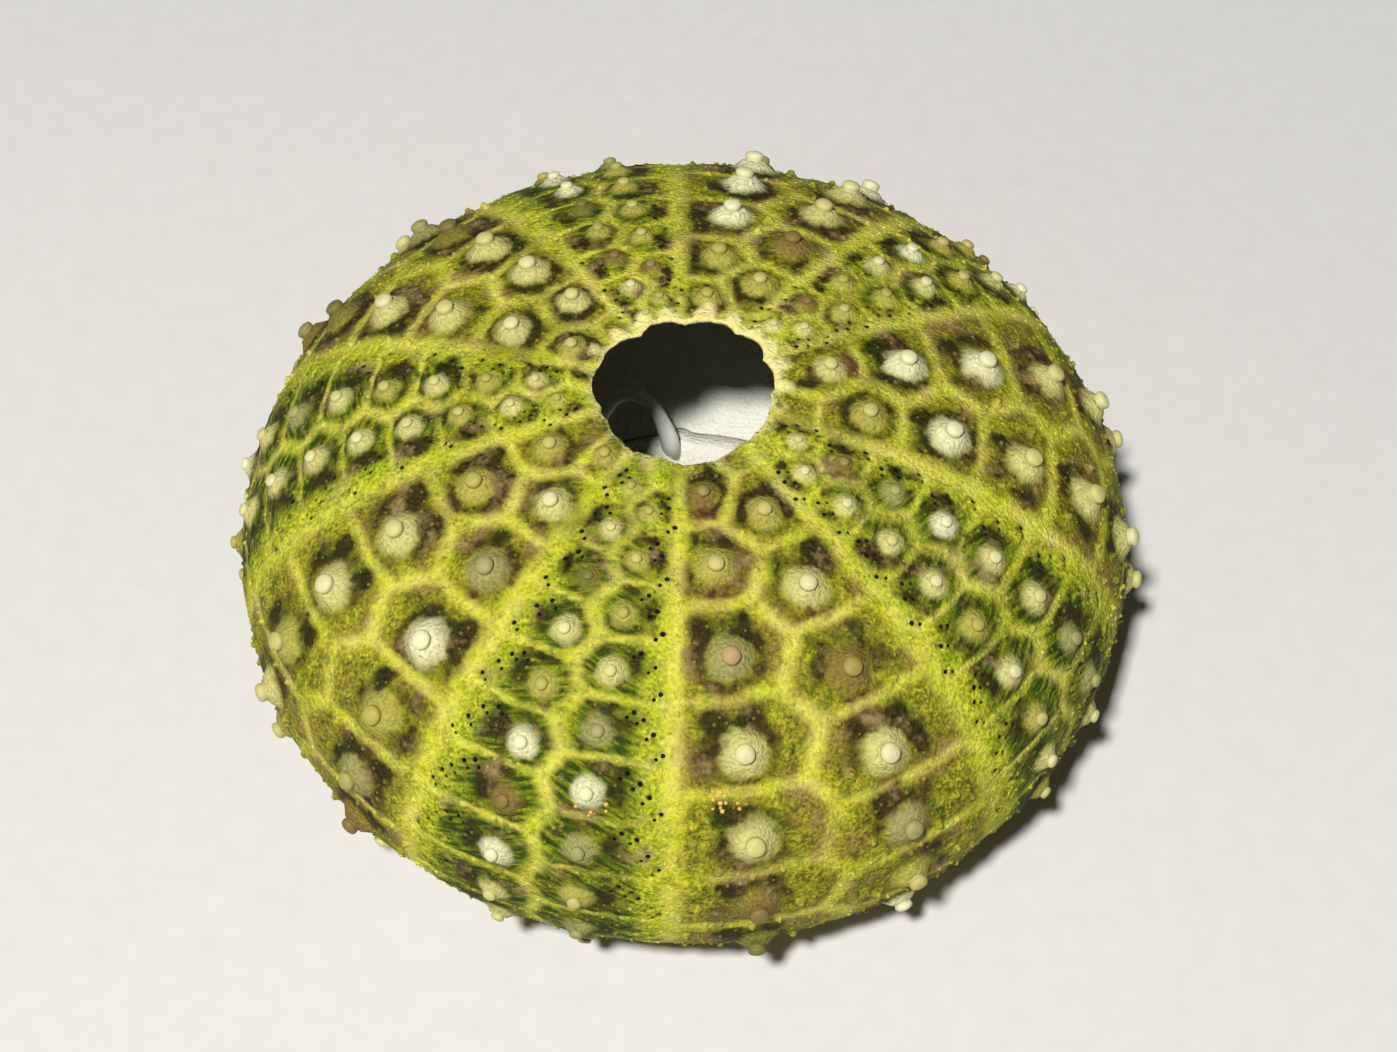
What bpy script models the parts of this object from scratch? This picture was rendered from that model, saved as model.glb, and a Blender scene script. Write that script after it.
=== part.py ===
# Shell of a regular sea urchin, cleaned of its spines and lying mouth down.
# The shell is one grown piece: a mosaic of limy plates in twenty columns, each plate
# with a tubercle on it, round a hollow that is open at the top, where the small plates
# of the pole have fallen out, and at the mouth below.
#
# A place on the shell is given by its azimuth, in degrees from +X, and by its arc, the
# distance in mm from the pole, measured along the outside. All sizes are in mm until
# the mesh is finished, and +Z is up.

import math
from collections import namedtuple

import bmesh
import bpy
import numpy as np
from mathutils import Vector

NAME = "urchin_shell"
METRES = 0.001  # one mm

# The outline from pole to mouth: two quarter superellipses that meet at the widest place
WIDEST_RADIUS = 18.0
UPPER_HEIGHT = 9.6
LOWER_HEIGHT = 7.8
UPPER_POWER = 2.23
LOWER_POWER = 2.26
MOUTH_RADIUS = 7.4
TURN_IN_RADIUS = 10.5  # inside this the underside curls up to the mouth
TURN_IN_RISE = 0.6
OUTLINE_STEPS = 500

# Where the shell lies: its widest circle above the floor, and its axis off the origin,
# so that the origin is below the middle of its box
WIDEST_ABOVE_FLOOR = 7.4
AXIS = (-0.099, 0.063)

# The hole at the pole, and how far its scalloped rim steps in and out
HOLE_ARC = 3.5
RIM_AT_SUTURE = 0.16
RIM_AT_PLATE = -0.12

# The wall, and how far its inner edge lies back from the rim of the hole
WALL = 1.1
WALL_AT_HOLE = 0.65
WALL_AT_MOUTH = 0.8
THINNING_ARC = 4.0
INNER_ROWS = 9

# Plates: the tubercle sits a little low in its plate, so the next seam is nearer to it
SEAM_SHARE = 0.42
LEAST_PLATE = 0.7
SEAM_SNAP = 0.3  # seam ends from the two sides of a border that are nearer than this are one

Kind = namedtuple("Kind", "arcs pitches zigzag sides radii rings")

# Distance from one tubercle to the next down a column, and the radius of a tubercle's
# cone, both by arc. Each ring of a tubercle has its radius and its height as shares of that.
BROAD = Kind(
    arcs=(4.0, 8.0, 12.0, 16.0, 20.0, 27.0, 34.0, 40.0),
    pitches=(2.25, 3.15, 3.2, 3.0, 2.7, 2.6, 2.2, 1.8),
    zigzag=0.55,
    sides=6,
    radii=(0.6, 0.9, 1.02, 1.05, 1.02, 0.9, 0.7, 0.5),
    rings=((1.0, 0.0), (0.46, 0.40), (0.40, 0.82)),
)
NARROW = Kind(
    arcs=(4.0, 8.0, 12.0, 16.0, 20.0, 27.0, 34.0, 40.0),
    pitches=(1.65, 2.1, 2.15, 2.2, 2.25, 2.3, 2.0, 1.8),
    zigzag=0.35,
    sides=5,
    radii=(0.45, 0.58, 0.68, 0.74, 0.74, 0.7, 0.6, 0.45),
    rings=((1.0, 0.0), (0.44, 0.75)),
)

# A zone is a double column of plates. Its columns are (azimuth of the tubercles, arc of
# the first, how far this column's pitch is stretched), as they vary on this shell.
Zone = namedtuple("Zone", "kind low_border low_column middle high_column high_border")
ZONES = (
    Zone(NARROW, 27.0, (34.6, 5.77, 1.01), 40.0, (43.7, 4.90, 1.01), 52.0),
    Zone(BROAD, 52.0, (61.7, 6.40, 0.94), 71.0, (78.7, 4.89, 0.94), 91.0),
    Zone(NARROW, 91.0, (100.8, 4.90, 1.00), 105.5, (110.5, 4.15, 0.97), 122.0),
    Zone(BROAD, 122.0, (131.6, 6.54, 0.88), 141.0, (152.0, 4.90, 0.98), 160.5),
    Zone(NARROW, 160.5, (172.4, 5.75, 1.00), 177.5, (183.0, 4.86, 0.98), 194.5),
    Zone(BROAD, 194.5, (206.0, 5.65, 1.08), 215.0, (225.1, 4.24, 1.10), 234.0),
    Zone(NARROW, 234.0, (246.1, 4.87, 1.02), 251.0, (256.7, 5.72, 1.03), 268.0),
    Zone(BROAD, 268.0, (278.4, 4.87, 1.12), 288.5, (298.2, 6.30, 1.08), 310.5),
    Zone(NARROW, 310.5, (320.5, 5.90, 1.03), 326.5, (331.8, 4.93, 1.05), 342.5),
    Zone(BROAD, 342.5, (352.9, 7.18, 1.04), 3.5, (12.5, 5.82, 1.06), 27.0),
)

# The girdle round the inside of the mouth, and the arches on it, one to a narrow zone
GIRDLE_OUTER_ARC = 1.3  # both measured up from the mouth's edge
GIRDLE_INNER_ARC = 0.4
GIRDLE_HEIGHT = 0.7
POST_HEIGHT = 1.5
ARCH_RISE_INSIDE = 0.5
ARCH_RISE_OUTSIDE = 1.2
ARCH_CLOSING = 0.35  # share of the way to the middle that the posts lean over

# The colour of the shell: light olive green, dull
COLOUR = (0.26, 0.29, 0.06, 1.0)
ROUGHNESS = 0.75


def outline():
    """Arc, radius and height at close steps from the pole to the mouth."""
    turn = np.linspace(0.0, math.pi / 2, OUTLINE_STEPS)
    upper_radius = WIDEST_RADIUS * np.sin(turn) ** (2 / UPPER_POWER)
    upper_height = UPPER_HEIGHT * np.cos(turn) ** (2 / UPPER_POWER)
    back = turn[-2::-1]
    lower_radius = WIDEST_RADIUS * np.sin(back) ** (2 / LOWER_POWER)
    lower_height = -LOWER_HEIGHT * np.cos(back) ** (2 / LOWER_POWER)
    kept = lower_radius >= MOUTH_RADIUS
    lower_radius, lower_height = lower_radius[kept], lower_height[kept]
    inward = (TURN_IN_RADIUS - lower_radius) / (TURN_IN_RADIUS - MOUTH_RADIUS)
    lower_height += TURN_IN_RISE * np.clip(inward, 0, None) ** 2
    radius = np.concatenate([upper_radius, lower_radius])
    height = np.concatenate([upper_height, lower_height])
    steps = np.hypot(np.diff(radius), np.diff(height))
    return np.concatenate([[0.0], np.cumsum(steps)]), radius, height


ARCS, RADII, HEIGHTS = outline()
MOUTH_ARC = ARCS[-1]


def radius_at(arc):
    return float(np.interp(arc, ARCS, RADII))


def shell_point(azimuth, arc, lift=0.0):
    """The point at this azimuth and arc, lifted off the outside by this much."""
    near, far = max(arc - 0.05, 0.0), min(arc + 0.05, MOUTH_ARC)
    out = np.interp(far, ARCS, RADII) - np.interp(near, ARCS, RADII)
    down = np.interp(near, ARCS, HEIGHTS) - np.interp(far, ARCS, HEIGHTS)
    length = math.hypot(out, down)
    radius = radius_at(arc) + lift * down / length
    height = float(np.interp(arc, ARCS, HEIGHTS)) + lift * out / length
    turn = math.radians(azimuth)
    return (radius * math.cos(turn), radius * math.sin(turn), height)


def azimuth_gap(azimuth, other):
    """Degrees from one azimuth to another, between -180 and 180."""
    return (other - azimuth + 180.0) % 360.0 - 180.0


def halfway(azimuth, other):
    return (azimuth + azimuth_gap(azimuth, other) / 2) % 360.0


def wall_at(arc):
    """Thickness of the wall, which thins towards the hole and the mouth."""
    near = (HOLE_ARC, HOLE_ARC + THINNING_ARC, MOUTH_ARC - THINNING_ARC, MOUTH_ARC)
    return float(np.interp(arc, near, (WALL_AT_HOLE, WALL, WALL, WALL_AT_MOUTH)))


def tubercle_arcs(kind, start, stretch):
    """Arcs of the tubercles down one column, from the first to the last that fits."""
    arcs = []
    arc = start
    while arc < MOUTH_ARC - np.interp(arc, kind.arcs, kind.radii) - 0.15:
        arcs.append(arc)
        half = arc + np.interp(arc, kind.arcs, kind.pitches) / 2
        arc += stretch * float(np.interp(half, kind.arcs, kind.pitches))
    return arcs


class Border:
    """A line down the shell that two columns of plates share, with a vertex at each seam.

    Down the middle of a zone it zigzags, because each seam of one column ends where a plate
    of the other column bulges in.
    """

    def __init__(self, mesh, azimuth, zigzag):
        self.mesh = mesh
        self.azimuth = azimuth
        self.zigzag = zigzag
        self.top = mesh.verts.new(shell_point(azimuth, HOLE_ARC + RIM_AT_SUTURE))
        self.bottom = mesh.verts.new(shell_point(azimuth, MOUTH_ARC))
        self.stops = [
            (HOLE_ARC + RIM_AT_SUTURE, azimuth, self.top),
            (MOUTH_ARC, azimuth, self.bottom),
        ]

    def seam_end(self, arc, side):
        """The stop where a seam meets this line. Side is 1 or -1, towards the seam's own column."""
        for stop in self.stops:
            if abs(stop[0] - arc) < SEAM_SNAP:
                return stop
        shift = math.degrees(side * self.zigzag / radius_at(arc))
        azimuth = self.azimuth + shift
        stop = (arc, azimuth, self.mesh.verts.new(shell_point(azimuth, arc)))
        self.stops.append(stop)
        return stop

    def between(self, upper, lower):
        """The stops from upper to lower, both included, from the top down."""
        inside = [s for s in self.stops if upper[0] <= s[0] <= lower[0]]
        return sorted(inside, key=lambda stop: stop[0])


class Column:
    """One column of plates, between two borders."""

    def __init__(self, mesh, kind, low, high, column):
        self.mesh = mesh
        self.kind = kind
        self.low = low
        self.high = high
        self.azimuth, start, stretch = column
        self.tubercles = tubercle_arcs(kind, start, stretch)
        centre = halfway(low.azimuth, high.azimuth)
        rim, mouth = HOLE_ARC + RIM_AT_PLATE, MOUTH_ARC
        self.centre = centre
        self.top = (rim, centre, mesh.verts.new(shell_point(centre, rim)))
        self.bottom = (mouth, centre, mesh.verts.new(shell_point(centre, mouth)))
        self.seams = self.make_seams()

    def make_seams(self):
        """Both ends of each seam across the column, with the hole's rim first and the mouth last."""
        arcs = self.tubercles
        first_gap = arcs[1] - arcs[0]
        seams = [arcs[0] - (1 - SEAM_SHARE) * first_gap]
        seams += [a + SEAM_SHARE * (b - a) for a, b in zip(arcs, arcs[1:])]
        rim = HOLE_ARC + RIM_AT_SUTURE
        seams = [s for s in seams if rim + LEAST_PLATE < s < MOUTH_ARC - LEAST_PLATE]
        ends = [(self.low.stops[0], self.high.stops[0])]
        for arc in seams:
            ends.append((self.low.seam_end(arc, 1), self.high.seam_end(arc, -1)))
        ends.append((self.low.stops[1], self.high.stops[1]))
        return ends

    def plates(self):
        """Each plate's outline, as stops counterclockwise seen from outside, from top right."""
        last = len(self.seams) - 2
        for n, (upper, lower) in enumerate(zip(self.seams, self.seams[1:])):
            top = [self.top] if n == 0 else []
            bottom = [self.bottom] if n == last else []
            down = self.low.between(upper[0], lower[0])
            up = self.high.between(upper[1], lower[1])[::-1]
            yield top + down + bottom + up


def once_round(ring):
    """A ring of (angle, vertex) from its lowest angle, with its first vertex again at the end."""
    start = min(range(len(ring)), key=lambda n: ring[n][0])
    ring = ring[start:] + ring[:start]
    return ring + [(ring[0][0] + math.tau, ring[0][1])]


def zip_rings(mesh, outer, inner):
    """Triangles between two rings of (angle, vertex), both counterclockwise."""
    outer, inner = once_round(outer), once_round(inner)
    i = j = 0
    while i < len(outer) - 1 or j < len(inner) - 1:
        step_outer = j == len(inner) - 1 or (
            i < len(outer) - 1 and outer[i + 1][0] <= inner[j + 1][0]
        )
        if step_outer:
            mesh.faces.new((outer[i][1], outer[i + 1][1], inner[j][1]))
            i += 1
        else:
            mesh.faces.new((inner[j][1], outer[i][1], inner[j + 1][1]))
            j += 1


def across_and_up(azimuth, arc, stop):
    """How far a stop lies to the right of a place on the shell and above it, in mm."""
    across = math.radians(azimuth_gap(azimuth, stop[1])) * radius_at((arc + stop[0]) / 2)
    return across, arc - stop[0]


def make_ring(mesh, azimuth, arc, sides, radius, lift):
    """A ring of vertices round a place on the shell, as (angle, vertex)."""
    ring = []
    for n in range(sides):
        angle = math.tau * (n + 0.5) / sides - math.pi
        here = arc - radius * math.sin(angle)
        turn = math.degrees(radius * math.cos(angle) / radius_at(arc))
        ring.append((angle, mesh.verts.new(shell_point(azimuth + turn, here, lift))))
    return ring


def make_tubercle(mesh, kind, azimuth, arc):
    """A cone with a flat-topped knob on it, open below. Returns its lowest ring."""
    radius = float(np.interp(arc, kind.arcs, kind.radii))
    rings = [make_ring(mesh, azimuth, arc, kind.sides, share * radius, height * radius)
             for share, height in kind.rings]
    for lower, upper in zip(rings, rings[1:]):
        for n in range(kind.sides):
            a, b = lower[n - 1][1], lower[n][1]
            c, d = upper[n][1], upper[n - 1][1]
            mesh.faces.new((a, b, c))
            mesh.faces.new((a, c, d))
    mesh.faces.new([vertex for _, vertex in rings[-1]])
    return rings[0]


def make_plate(mesh, column, stops):
    """Fills one plate's outline, round its tubercle if it has one."""
    upper, lower = min(s[0] for s in stops), max(s[0] for s in stops)
    inside = [arc for arc in column.tubercles if upper < arc < lower]
    if not inside:
        plain = mesh.faces.new([s[2] for s in stops])
        bmesh.ops.triangulate(mesh, faces=[plain])
        return
    arc = inside[0]
    ring = make_tubercle(mesh, column.kind, column.azimuth, arc)
    outline_ring = []
    for stop in stops:
        across, up = across_and_up(column.azimuth, arc, stop)
        outline_ring.append((math.atan2(up, across), stop[2]))
    zip_rings(mesh, outline_ring, ring)


def make_columns(mesh):
    """The twenty columns in order of azimuth, each sharing its borders with the next."""
    borders = [Border(mesh, zone.low_border, 0.0) for zone in ZONES]
    columns = []
    for n, zone in enumerate(ZONES):
        low, high = borders[n], borders[(n + 1) % len(ZONES)]
        middle = Border(mesh, zone.middle, zone.kind.zigzag)
        columns.append(Column(mesh, zone.kind, low, middle, zone.low_column))
        columns.append(Column(mesh, zone.kind, middle, high, zone.high_column))
    return columns


def inner_rows():
    """(arc, lift) of each row of vertices on the inside. The last but two bound the girdle's top."""
    outer, inner = MOUTH_ARC - GIRDLE_OUTER_ARC, MOUTH_ARC - GIRDLE_INNER_ARC
    rows = [(arc, -wall_at(arc)) for arc in np.linspace(HOLE_ARC + 0.1, outer, INNER_ROWS)]
    rows += [(arc, -wall_at(arc) - GIRDLE_HEIGHT) for arc in (outer, inner)]
    rows += [(arc, -wall_at(arc)) for arc in (inner, MOUTH_ARC)]
    return rows


def make_inside(mesh, columns):
    """The inner wall from rim to rim. Returns the faces on top of the girdle, in order."""
    rim, mouth, azimuths = [], [], []
    for column in columns:
        rim += [column.low.top, column.top[2]]
        mouth += [column.low.bottom, column.bottom[2]]
        azimuths += [column.low.azimuth, column.centre]
    rows = [rim]
    for arc, lift in inner_rows():
        rows.append([mesh.verts.new(shell_point(a, arc, lift)) for a in azimuths])
    rows.append(mouth)
    bands = []
    for upper, lower in zip(rows, rows[1:]):
        bands.append([mesh.faces.new((upper[n - 1], upper[n], lower[n], lower[n - 1]))
                      for n in range(len(azimuths))])
    return bands[INNER_ROWS + 1]


def lift_face(mesh, face, place):
    """Puts a block on a face. place turns each corner into the block's. Returns its top."""
    old = list(face.verts)
    new = [mesh.verts.new(place(vertex.co)) for vertex in old]
    mesh.faces.remove(face)
    for n in range(len(old)):
        mesh.faces.new((old[n - 1], old[n], new[n], new[n - 1]))
    return mesh.faces.new(new)


def make_arch(mesh, feet, azimuth):
    """Two posts on the girdle, which lean together and join over the middle of a narrow zone."""
    middle = Vector(shell_point(azimuth, MOUTH_ARC - GIRDLE_OUTER_ARC))
    tips = []
    for foot in feet:
        post = lift_face(mesh, foot, lambda at: at + Vector((0.0, 0.0, POST_HEIGHT)))
        reach = sum(((v.co - middle).xy.length for v in post.verts)) / len(post.verts)

        def lean(at, reach=reach):
            outside = (at - middle).xy.length > reach
            rise = ARCH_RISE_OUTSIDE if outside else ARCH_RISE_INSIDE
            close = ARCH_CLOSING * (middle - at)
            return at + Vector((close.x, close.y, rise))

        tips.append(lift_face(mesh, post, lean))
    edges = [edge for tip in tips for edge in tip.edges]
    for tip in tips:
        mesh.faces.remove(tip)
    bmesh.ops.bridge_loops(mesh, edges=edges)


def make_arches(mesh, girdle):
    """One arch to a narrow zone, on the outer faces of the four that the zone has."""
    for number, zone in enumerate(ZONES):
        if zone.kind is NARROW:
            first, last = 4 * number + 1, (4 * number + 4) % len(girdle)
            make_arch(mesh, (girdle[first], girdle[last]), zone.middle)


def stand_on_knobs(mesh):
    """Lays the shell on the floor. The knobs that reach it are worn flat, and it stands on them."""
    for vertex in mesh.verts:
        vertex.co += Vector((*AXIS, WIDEST_ABOVE_FLOOR))
        vertex.co.z = max(vertex.co.z, 0.0)


def make_material():
    material = bpy.data.materials.new("urchin_limestone")
    material.use_nodes = True
    shader = material.node_tree.nodes["Principled BSDF"]
    shader.inputs["Base Color"].default_value = COLOUR
    shader.inputs["Roughness"].default_value = ROUGHNESS
    shader.inputs["Metallic"].default_value = 0.0
    return material


def make_shell():
    mesh = bmesh.new()
    columns = make_columns(mesh)
    for column in columns:
        for stops in column.plates():
            make_plate(mesh, column, stops)
    make_arches(mesh, make_inside(mesh, columns))
    stand_on_knobs(mesh)
    bmesh.ops.scale(mesh, vec=(METRES,) * 3, verts=mesh.verts)
    data = bpy.data.meshes.new(NAME)
    mesh.to_mesh(data)
    mesh.free()
    data.materials.append(make_material())
    shell = bpy.data.objects.new(NAME, data)
    bpy.context.scene.collection.objects.link(shell)


def main():
    for old in list(bpy.data.objects):
        bpy.data.objects.remove(old)
    make_shell()


main()
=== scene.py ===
# %% [markdown]
# # The cleaned shell of a sea urchin
#
# This is the empty shell of a regular sea urchin, without its spines, lying mouth down.
# A real one grows as a single hollow of small limy plates in twenty columns. It is built here
# as six joined meshes: the plates with their wall, the knobs that carried the large spines,
# the small knobs and the grains between them, a few grains of sand, and the five white arches
# inside the mouth. The imported model gives the box, and everything stays inside that box.

# %% Load the imported model
import math
from collections import namedtuple

import bpy
import numpy as np
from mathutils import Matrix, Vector, kdtree, noise
from mathutils.geometry import delaunay_2d_cdt


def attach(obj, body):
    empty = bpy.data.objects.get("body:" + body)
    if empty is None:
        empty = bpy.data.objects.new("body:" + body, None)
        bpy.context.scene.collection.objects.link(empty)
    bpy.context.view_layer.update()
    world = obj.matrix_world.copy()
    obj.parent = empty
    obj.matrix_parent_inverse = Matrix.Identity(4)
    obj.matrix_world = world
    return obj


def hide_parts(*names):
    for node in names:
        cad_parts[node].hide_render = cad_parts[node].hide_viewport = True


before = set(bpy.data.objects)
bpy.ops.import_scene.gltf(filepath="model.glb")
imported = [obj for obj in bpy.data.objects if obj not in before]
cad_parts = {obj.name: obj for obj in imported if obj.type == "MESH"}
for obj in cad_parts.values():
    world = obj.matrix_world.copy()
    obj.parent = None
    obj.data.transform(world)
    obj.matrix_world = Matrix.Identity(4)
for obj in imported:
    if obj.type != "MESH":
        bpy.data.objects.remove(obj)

noise.seed_set(5)  # without a seed, vector noise is shifted by the clock and no two runs agree
MM = 0.001
NODE = "urchin_shell"
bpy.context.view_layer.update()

# %% [markdown]
# ## The outline
#
# Cut through its middle, the shell is a flattened globe: fuller above the widest circle than
# below it, and curled in a little round the mouth. Two quarter superellipses give that with
# five numbers. A place on the shell is then an azimuth in degrees from +X and an arc, the
# distance in mm from the pole, measured along the outside. Arcs are what the plates grow
# along, so every size that follows is a real one and nothing stretches near the pole.

# %% The outline from the pole to the mouth
WIDEST_RADIUS = 18.0
UPPER_HEIGHT = 9.6
LOWER_HEIGHT = 7.8
UPPER_POWER = 2.23
LOWER_POWER = 2.26
MOUTH_RADIUS = 7.4
TURN_IN_RADIUS = 10.5
TURN_IN_RISE = 0.6
OUTLINE_STEPS = 500
WIDEST_ABOVE_FLOOR = 7.4
AXIS = (-0.099, 0.063)
HOLE_ARC = 3.5


def outline():
    """Arc, radius and height at close steps from the pole to the mouth, in mm."""
    turn = np.linspace(0.0, math.pi / 2, OUTLINE_STEPS)
    upper_radius = WIDEST_RADIUS * np.sin(turn) ** (2 / UPPER_POWER)
    upper_height = UPPER_HEIGHT * np.cos(turn) ** (2 / UPPER_POWER)
    back = turn[-2::-1]
    lower_radius = WIDEST_RADIUS * np.sin(back) ** (2 / LOWER_POWER)
    lower_height = -LOWER_HEIGHT * np.cos(back) ** (2 / LOWER_POWER)
    kept = lower_radius >= MOUTH_RADIUS
    lower_radius, lower_height = lower_radius[kept], lower_height[kept]
    inward = (TURN_IN_RADIUS - lower_radius) / (TURN_IN_RADIUS - MOUTH_RADIUS)
    lower_height += TURN_IN_RISE * np.clip(inward, 0, None) ** 2
    radius = np.concatenate([upper_radius, lower_radius])
    height = np.concatenate([upper_height, lower_height])
    steps = np.hypot(np.diff(radius), np.diff(height))
    return np.concatenate([[0.0], np.cumsum(steps)]), radius, height


ARCS, RADII, HEIGHTS = outline()
MOUTH_ARC = float(ARCS[-1])
print("from the pole to the mouth:", round(MOUTH_ARC, 2), "mm along the outside")

# %% Places on the shell, and two small sums used throughout
NORMAL_OUT = -np.gradient(HEIGHTS, ARCS)
NORMAL_UP = np.gradient(RADII, ARCS)
NORMAL_SIZE = np.hypot(NORMAL_OUT, NORMAL_UP)


def radius_at(arcs):
    return np.interp(arcs, ARCS, RADII)


def shell_points(azimuths, arcs, lifts=0.0):
    """Points in mm at these azimuths and arcs, lifted off the outside by this much."""
    radius = radius_at(arcs) + lifts * np.interp(arcs, ARCS, NORMAL_OUT / NORMAL_SIZE)
    height = np.interp(arcs, ARCS, HEIGHTS) + lifts * np.interp(arcs, ARCS, NORMAL_UP / NORMAL_SIZE)
    turn = np.radians(azimuths)
    return np.column_stack([radius * np.cos(turn) + AXIS[0], radius * np.sin(turn) + AXIS[1],
                            height + WIDEST_ABOVE_FLOOR])


def azimuth_gap(azimuth, other):
    """Degrees from one azimuth to another, between -180 and 180."""
    return (other - azimuth + 180.0) % 360.0 - 180.0


def between(values, low, high):
    """0 at low and below, 1 at high and above, with a smooth step from one to the other."""
    share = np.clip((values - low) / (high - low), 0.0, 1.0)
    return share * share * (3 - 2 * share)


print("the front of the widest circle, mm:", shell_points(270.0, ARCS[OUTLINE_STEPS - 1]).round(2))

# %% [markdown]
# ## The plates
#
# Five broad zones and five narrow ones run from the hole to the mouth, each a double column
# of plates with one large tubercle to a plate. They could be scattered by a rule alone, but
# the eye knows this shell by its uneven columns, so each column has its own azimuth, start
# and stretch, as on the real one. The size and the spacing of the tubercles follow the arc.

# %% Kinds of zone and the ten zones
Kind = namedtuple("Kind", "arcs pitches zigzag radii")
BROAD = Kind(
    arcs=(4.0, 8.0, 12.0, 16.0, 20.0, 27.0, 34.0, 40.0),
    pitches=(2.25, 3.15, 3.2, 3.0, 2.7, 2.6, 2.2, 1.8),
    zigzag=0.55,
    radii=(0.6, 0.9, 1.02, 1.05, 1.02, 0.9, 0.7, 0.5),
)
NARROW = Kind(
    arcs=(4.0, 8.0, 12.0, 16.0, 20.0, 27.0, 34.0, 40.0),
    pitches=(1.65, 2.1, 2.15, 2.2, 2.25, 2.3, 2.0, 1.8),
    zigzag=0.35,
    radii=(0.45, 0.58, 0.68, 0.74, 0.74, 0.7, 0.6, 0.45),
)
# Borders and middle are azimuths. A column is its azimuth, its first arc and its stretch.
Zone = namedtuple("Zone", "name kind low_border low_column middle high_column high_border")
ZONES = (
    Zone("C", NARROW, 27.0, (34.6, 5.77, 1.01), 40.0, (43.7, 4.90, 1.01), 52.0),
    Zone("CD", BROAD, 52.0, (61.7, 6.40, 0.94), 71.0, (78.7, 4.89, 0.94), 91.0),
    Zone("D", NARROW, 91.0, (100.8, 4.90, 1.00), 105.5, (110.5, 4.15, 0.97), 122.0),
    Zone("DE", BROAD, 122.0, (131.6, 6.54, 0.88), 141.0, (152.0, 4.90, 0.98), 160.5),
    Zone("E", NARROW, 160.5, (172.4, 5.75, 1.00), 177.5, (183.0, 4.86, 0.98), 194.5),
    Zone("EA", BROAD, 194.5, (206.0, 5.65, 1.08), 215.0, (225.1, 4.24, 1.10), 234.0),
    Zone("A", NARROW, 234.0, (246.1, 4.87, 1.02), 251.0, (256.7, 5.72, 1.03), 268.0),
    Zone("AB", BROAD, 268.0, (278.4, 4.87, 1.12), 288.5, (298.2, 6.30, 1.08), 310.5),
    Zone("B", NARROW, 310.5, (320.5, 5.90, 1.03), 326.5, (331.8, 4.93, 1.05), 342.5),
    Zone("BC", BROAD, 342.5, (352.9, 7.18, 1.04), 3.5, (12.5, 5.82, 1.06), 27.0),
)

# %% Tubercles down each column
LAST_TUBERCLE_FROM_MOUTH = 0.15
Plate = namedtuple("Plate", "zone kind column azimuth arc radius pitch number")


def tubercle_arcs(kind, start, stretch):
    """Arcs of the tubercles down one column, from the first to the last that fits."""
    arcs = []
    arc = start
    while arc < MOUTH_ARC - np.interp(arc, kind.arcs, kind.radii) - LAST_TUBERCLE_FROM_MOUTH:
        arcs.append(arc)
        half = arc + np.interp(arc, kind.arcs, kind.pitches) / 2
        arc += stretch * float(np.interp(half, kind.arcs, kind.pitches))
    return arcs


plates = []
for zone in ZONES:
    for column in ("low", "high"):
        azimuth, start, stretch = getattr(zone, column + "_column")
        for number, arc in enumerate(tubercle_arcs(zone.kind, start, stretch)):
            size = float(np.interp(arc, zone.kind.arcs, zone.kind.radii))
            pitch = stretch * float(np.interp(arc, zone.kind.arcs, zone.kind.pitches))
            plates.append(Plate(zone, zone.kind, column, azimuth, arc, size, pitch, number))
broad_plates = [p for p in plates if p.kind is BROAD]
narrow_plates = [p for p in plates if p.kind is NARROW]
print(len(broad_plates), "broad plates and", len(narrow_plates), "narrow ones")

# %% [markdown]
# ## The seams between the plates
#
# The seams show as pale yellow bands, widest along the zones' borders, narrower across the
# columns, and in a zigzag down the middle of each zone where its two columns interlock. As
# colours they could be drawn in the material, but they also part the little domes of the
# plates. So they are lines of places on the shell, and each point of the mesh later learns
# how far it is from the nearest, as a share of that band's half width.

# %% The lines of the seams
SEAM_SHARE = 0.42  # a tubercle sits a little low in its plate, so the next seam is nearer
LEAST_PLATE = 0.7
SEAM_SNAP = 0.3  # seam ends on a border that are nearer than this are one
RIM_OF_PLATES = HOLE_ARC + 0.16

Seam = namedtuple("Seam", "band start end")


def seam_arcs(tubercles):
    """Arcs of the seams across a column, with one above each tubercle but none near a rim."""
    gap = tubercles[1] - tubercles[0]
    seams = [tubercles[0] - (1 - SEAM_SHARE) * gap]
    seams += [a + SEAM_SHARE * (b - a) for a, b in zip(tubercles, tubercles[1:])]
    return [s for s in seams if RIM_OF_PLATES + LEAST_PLATE < s < MOUTH_ARC - LEAST_PLATE]


def add_stop(stops, azimuth, arc):
    """The stop near this arc on a line down the shell, made if there is none yet."""
    for stop in stops:
        if abs(stop[1] - arc) < SEAM_SNAP:
            return stop
    stops.append((azimuth, arc))
    return stops[-1]


def lines_down(band, stops):
    """The pieces of a line down the shell from stop to stop."""
    stops = sorted(stops, key=lambda stop: stop[1])
    return [Seam(band, a, b) for a, b in zip(stops, stops[1:])]


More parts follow.
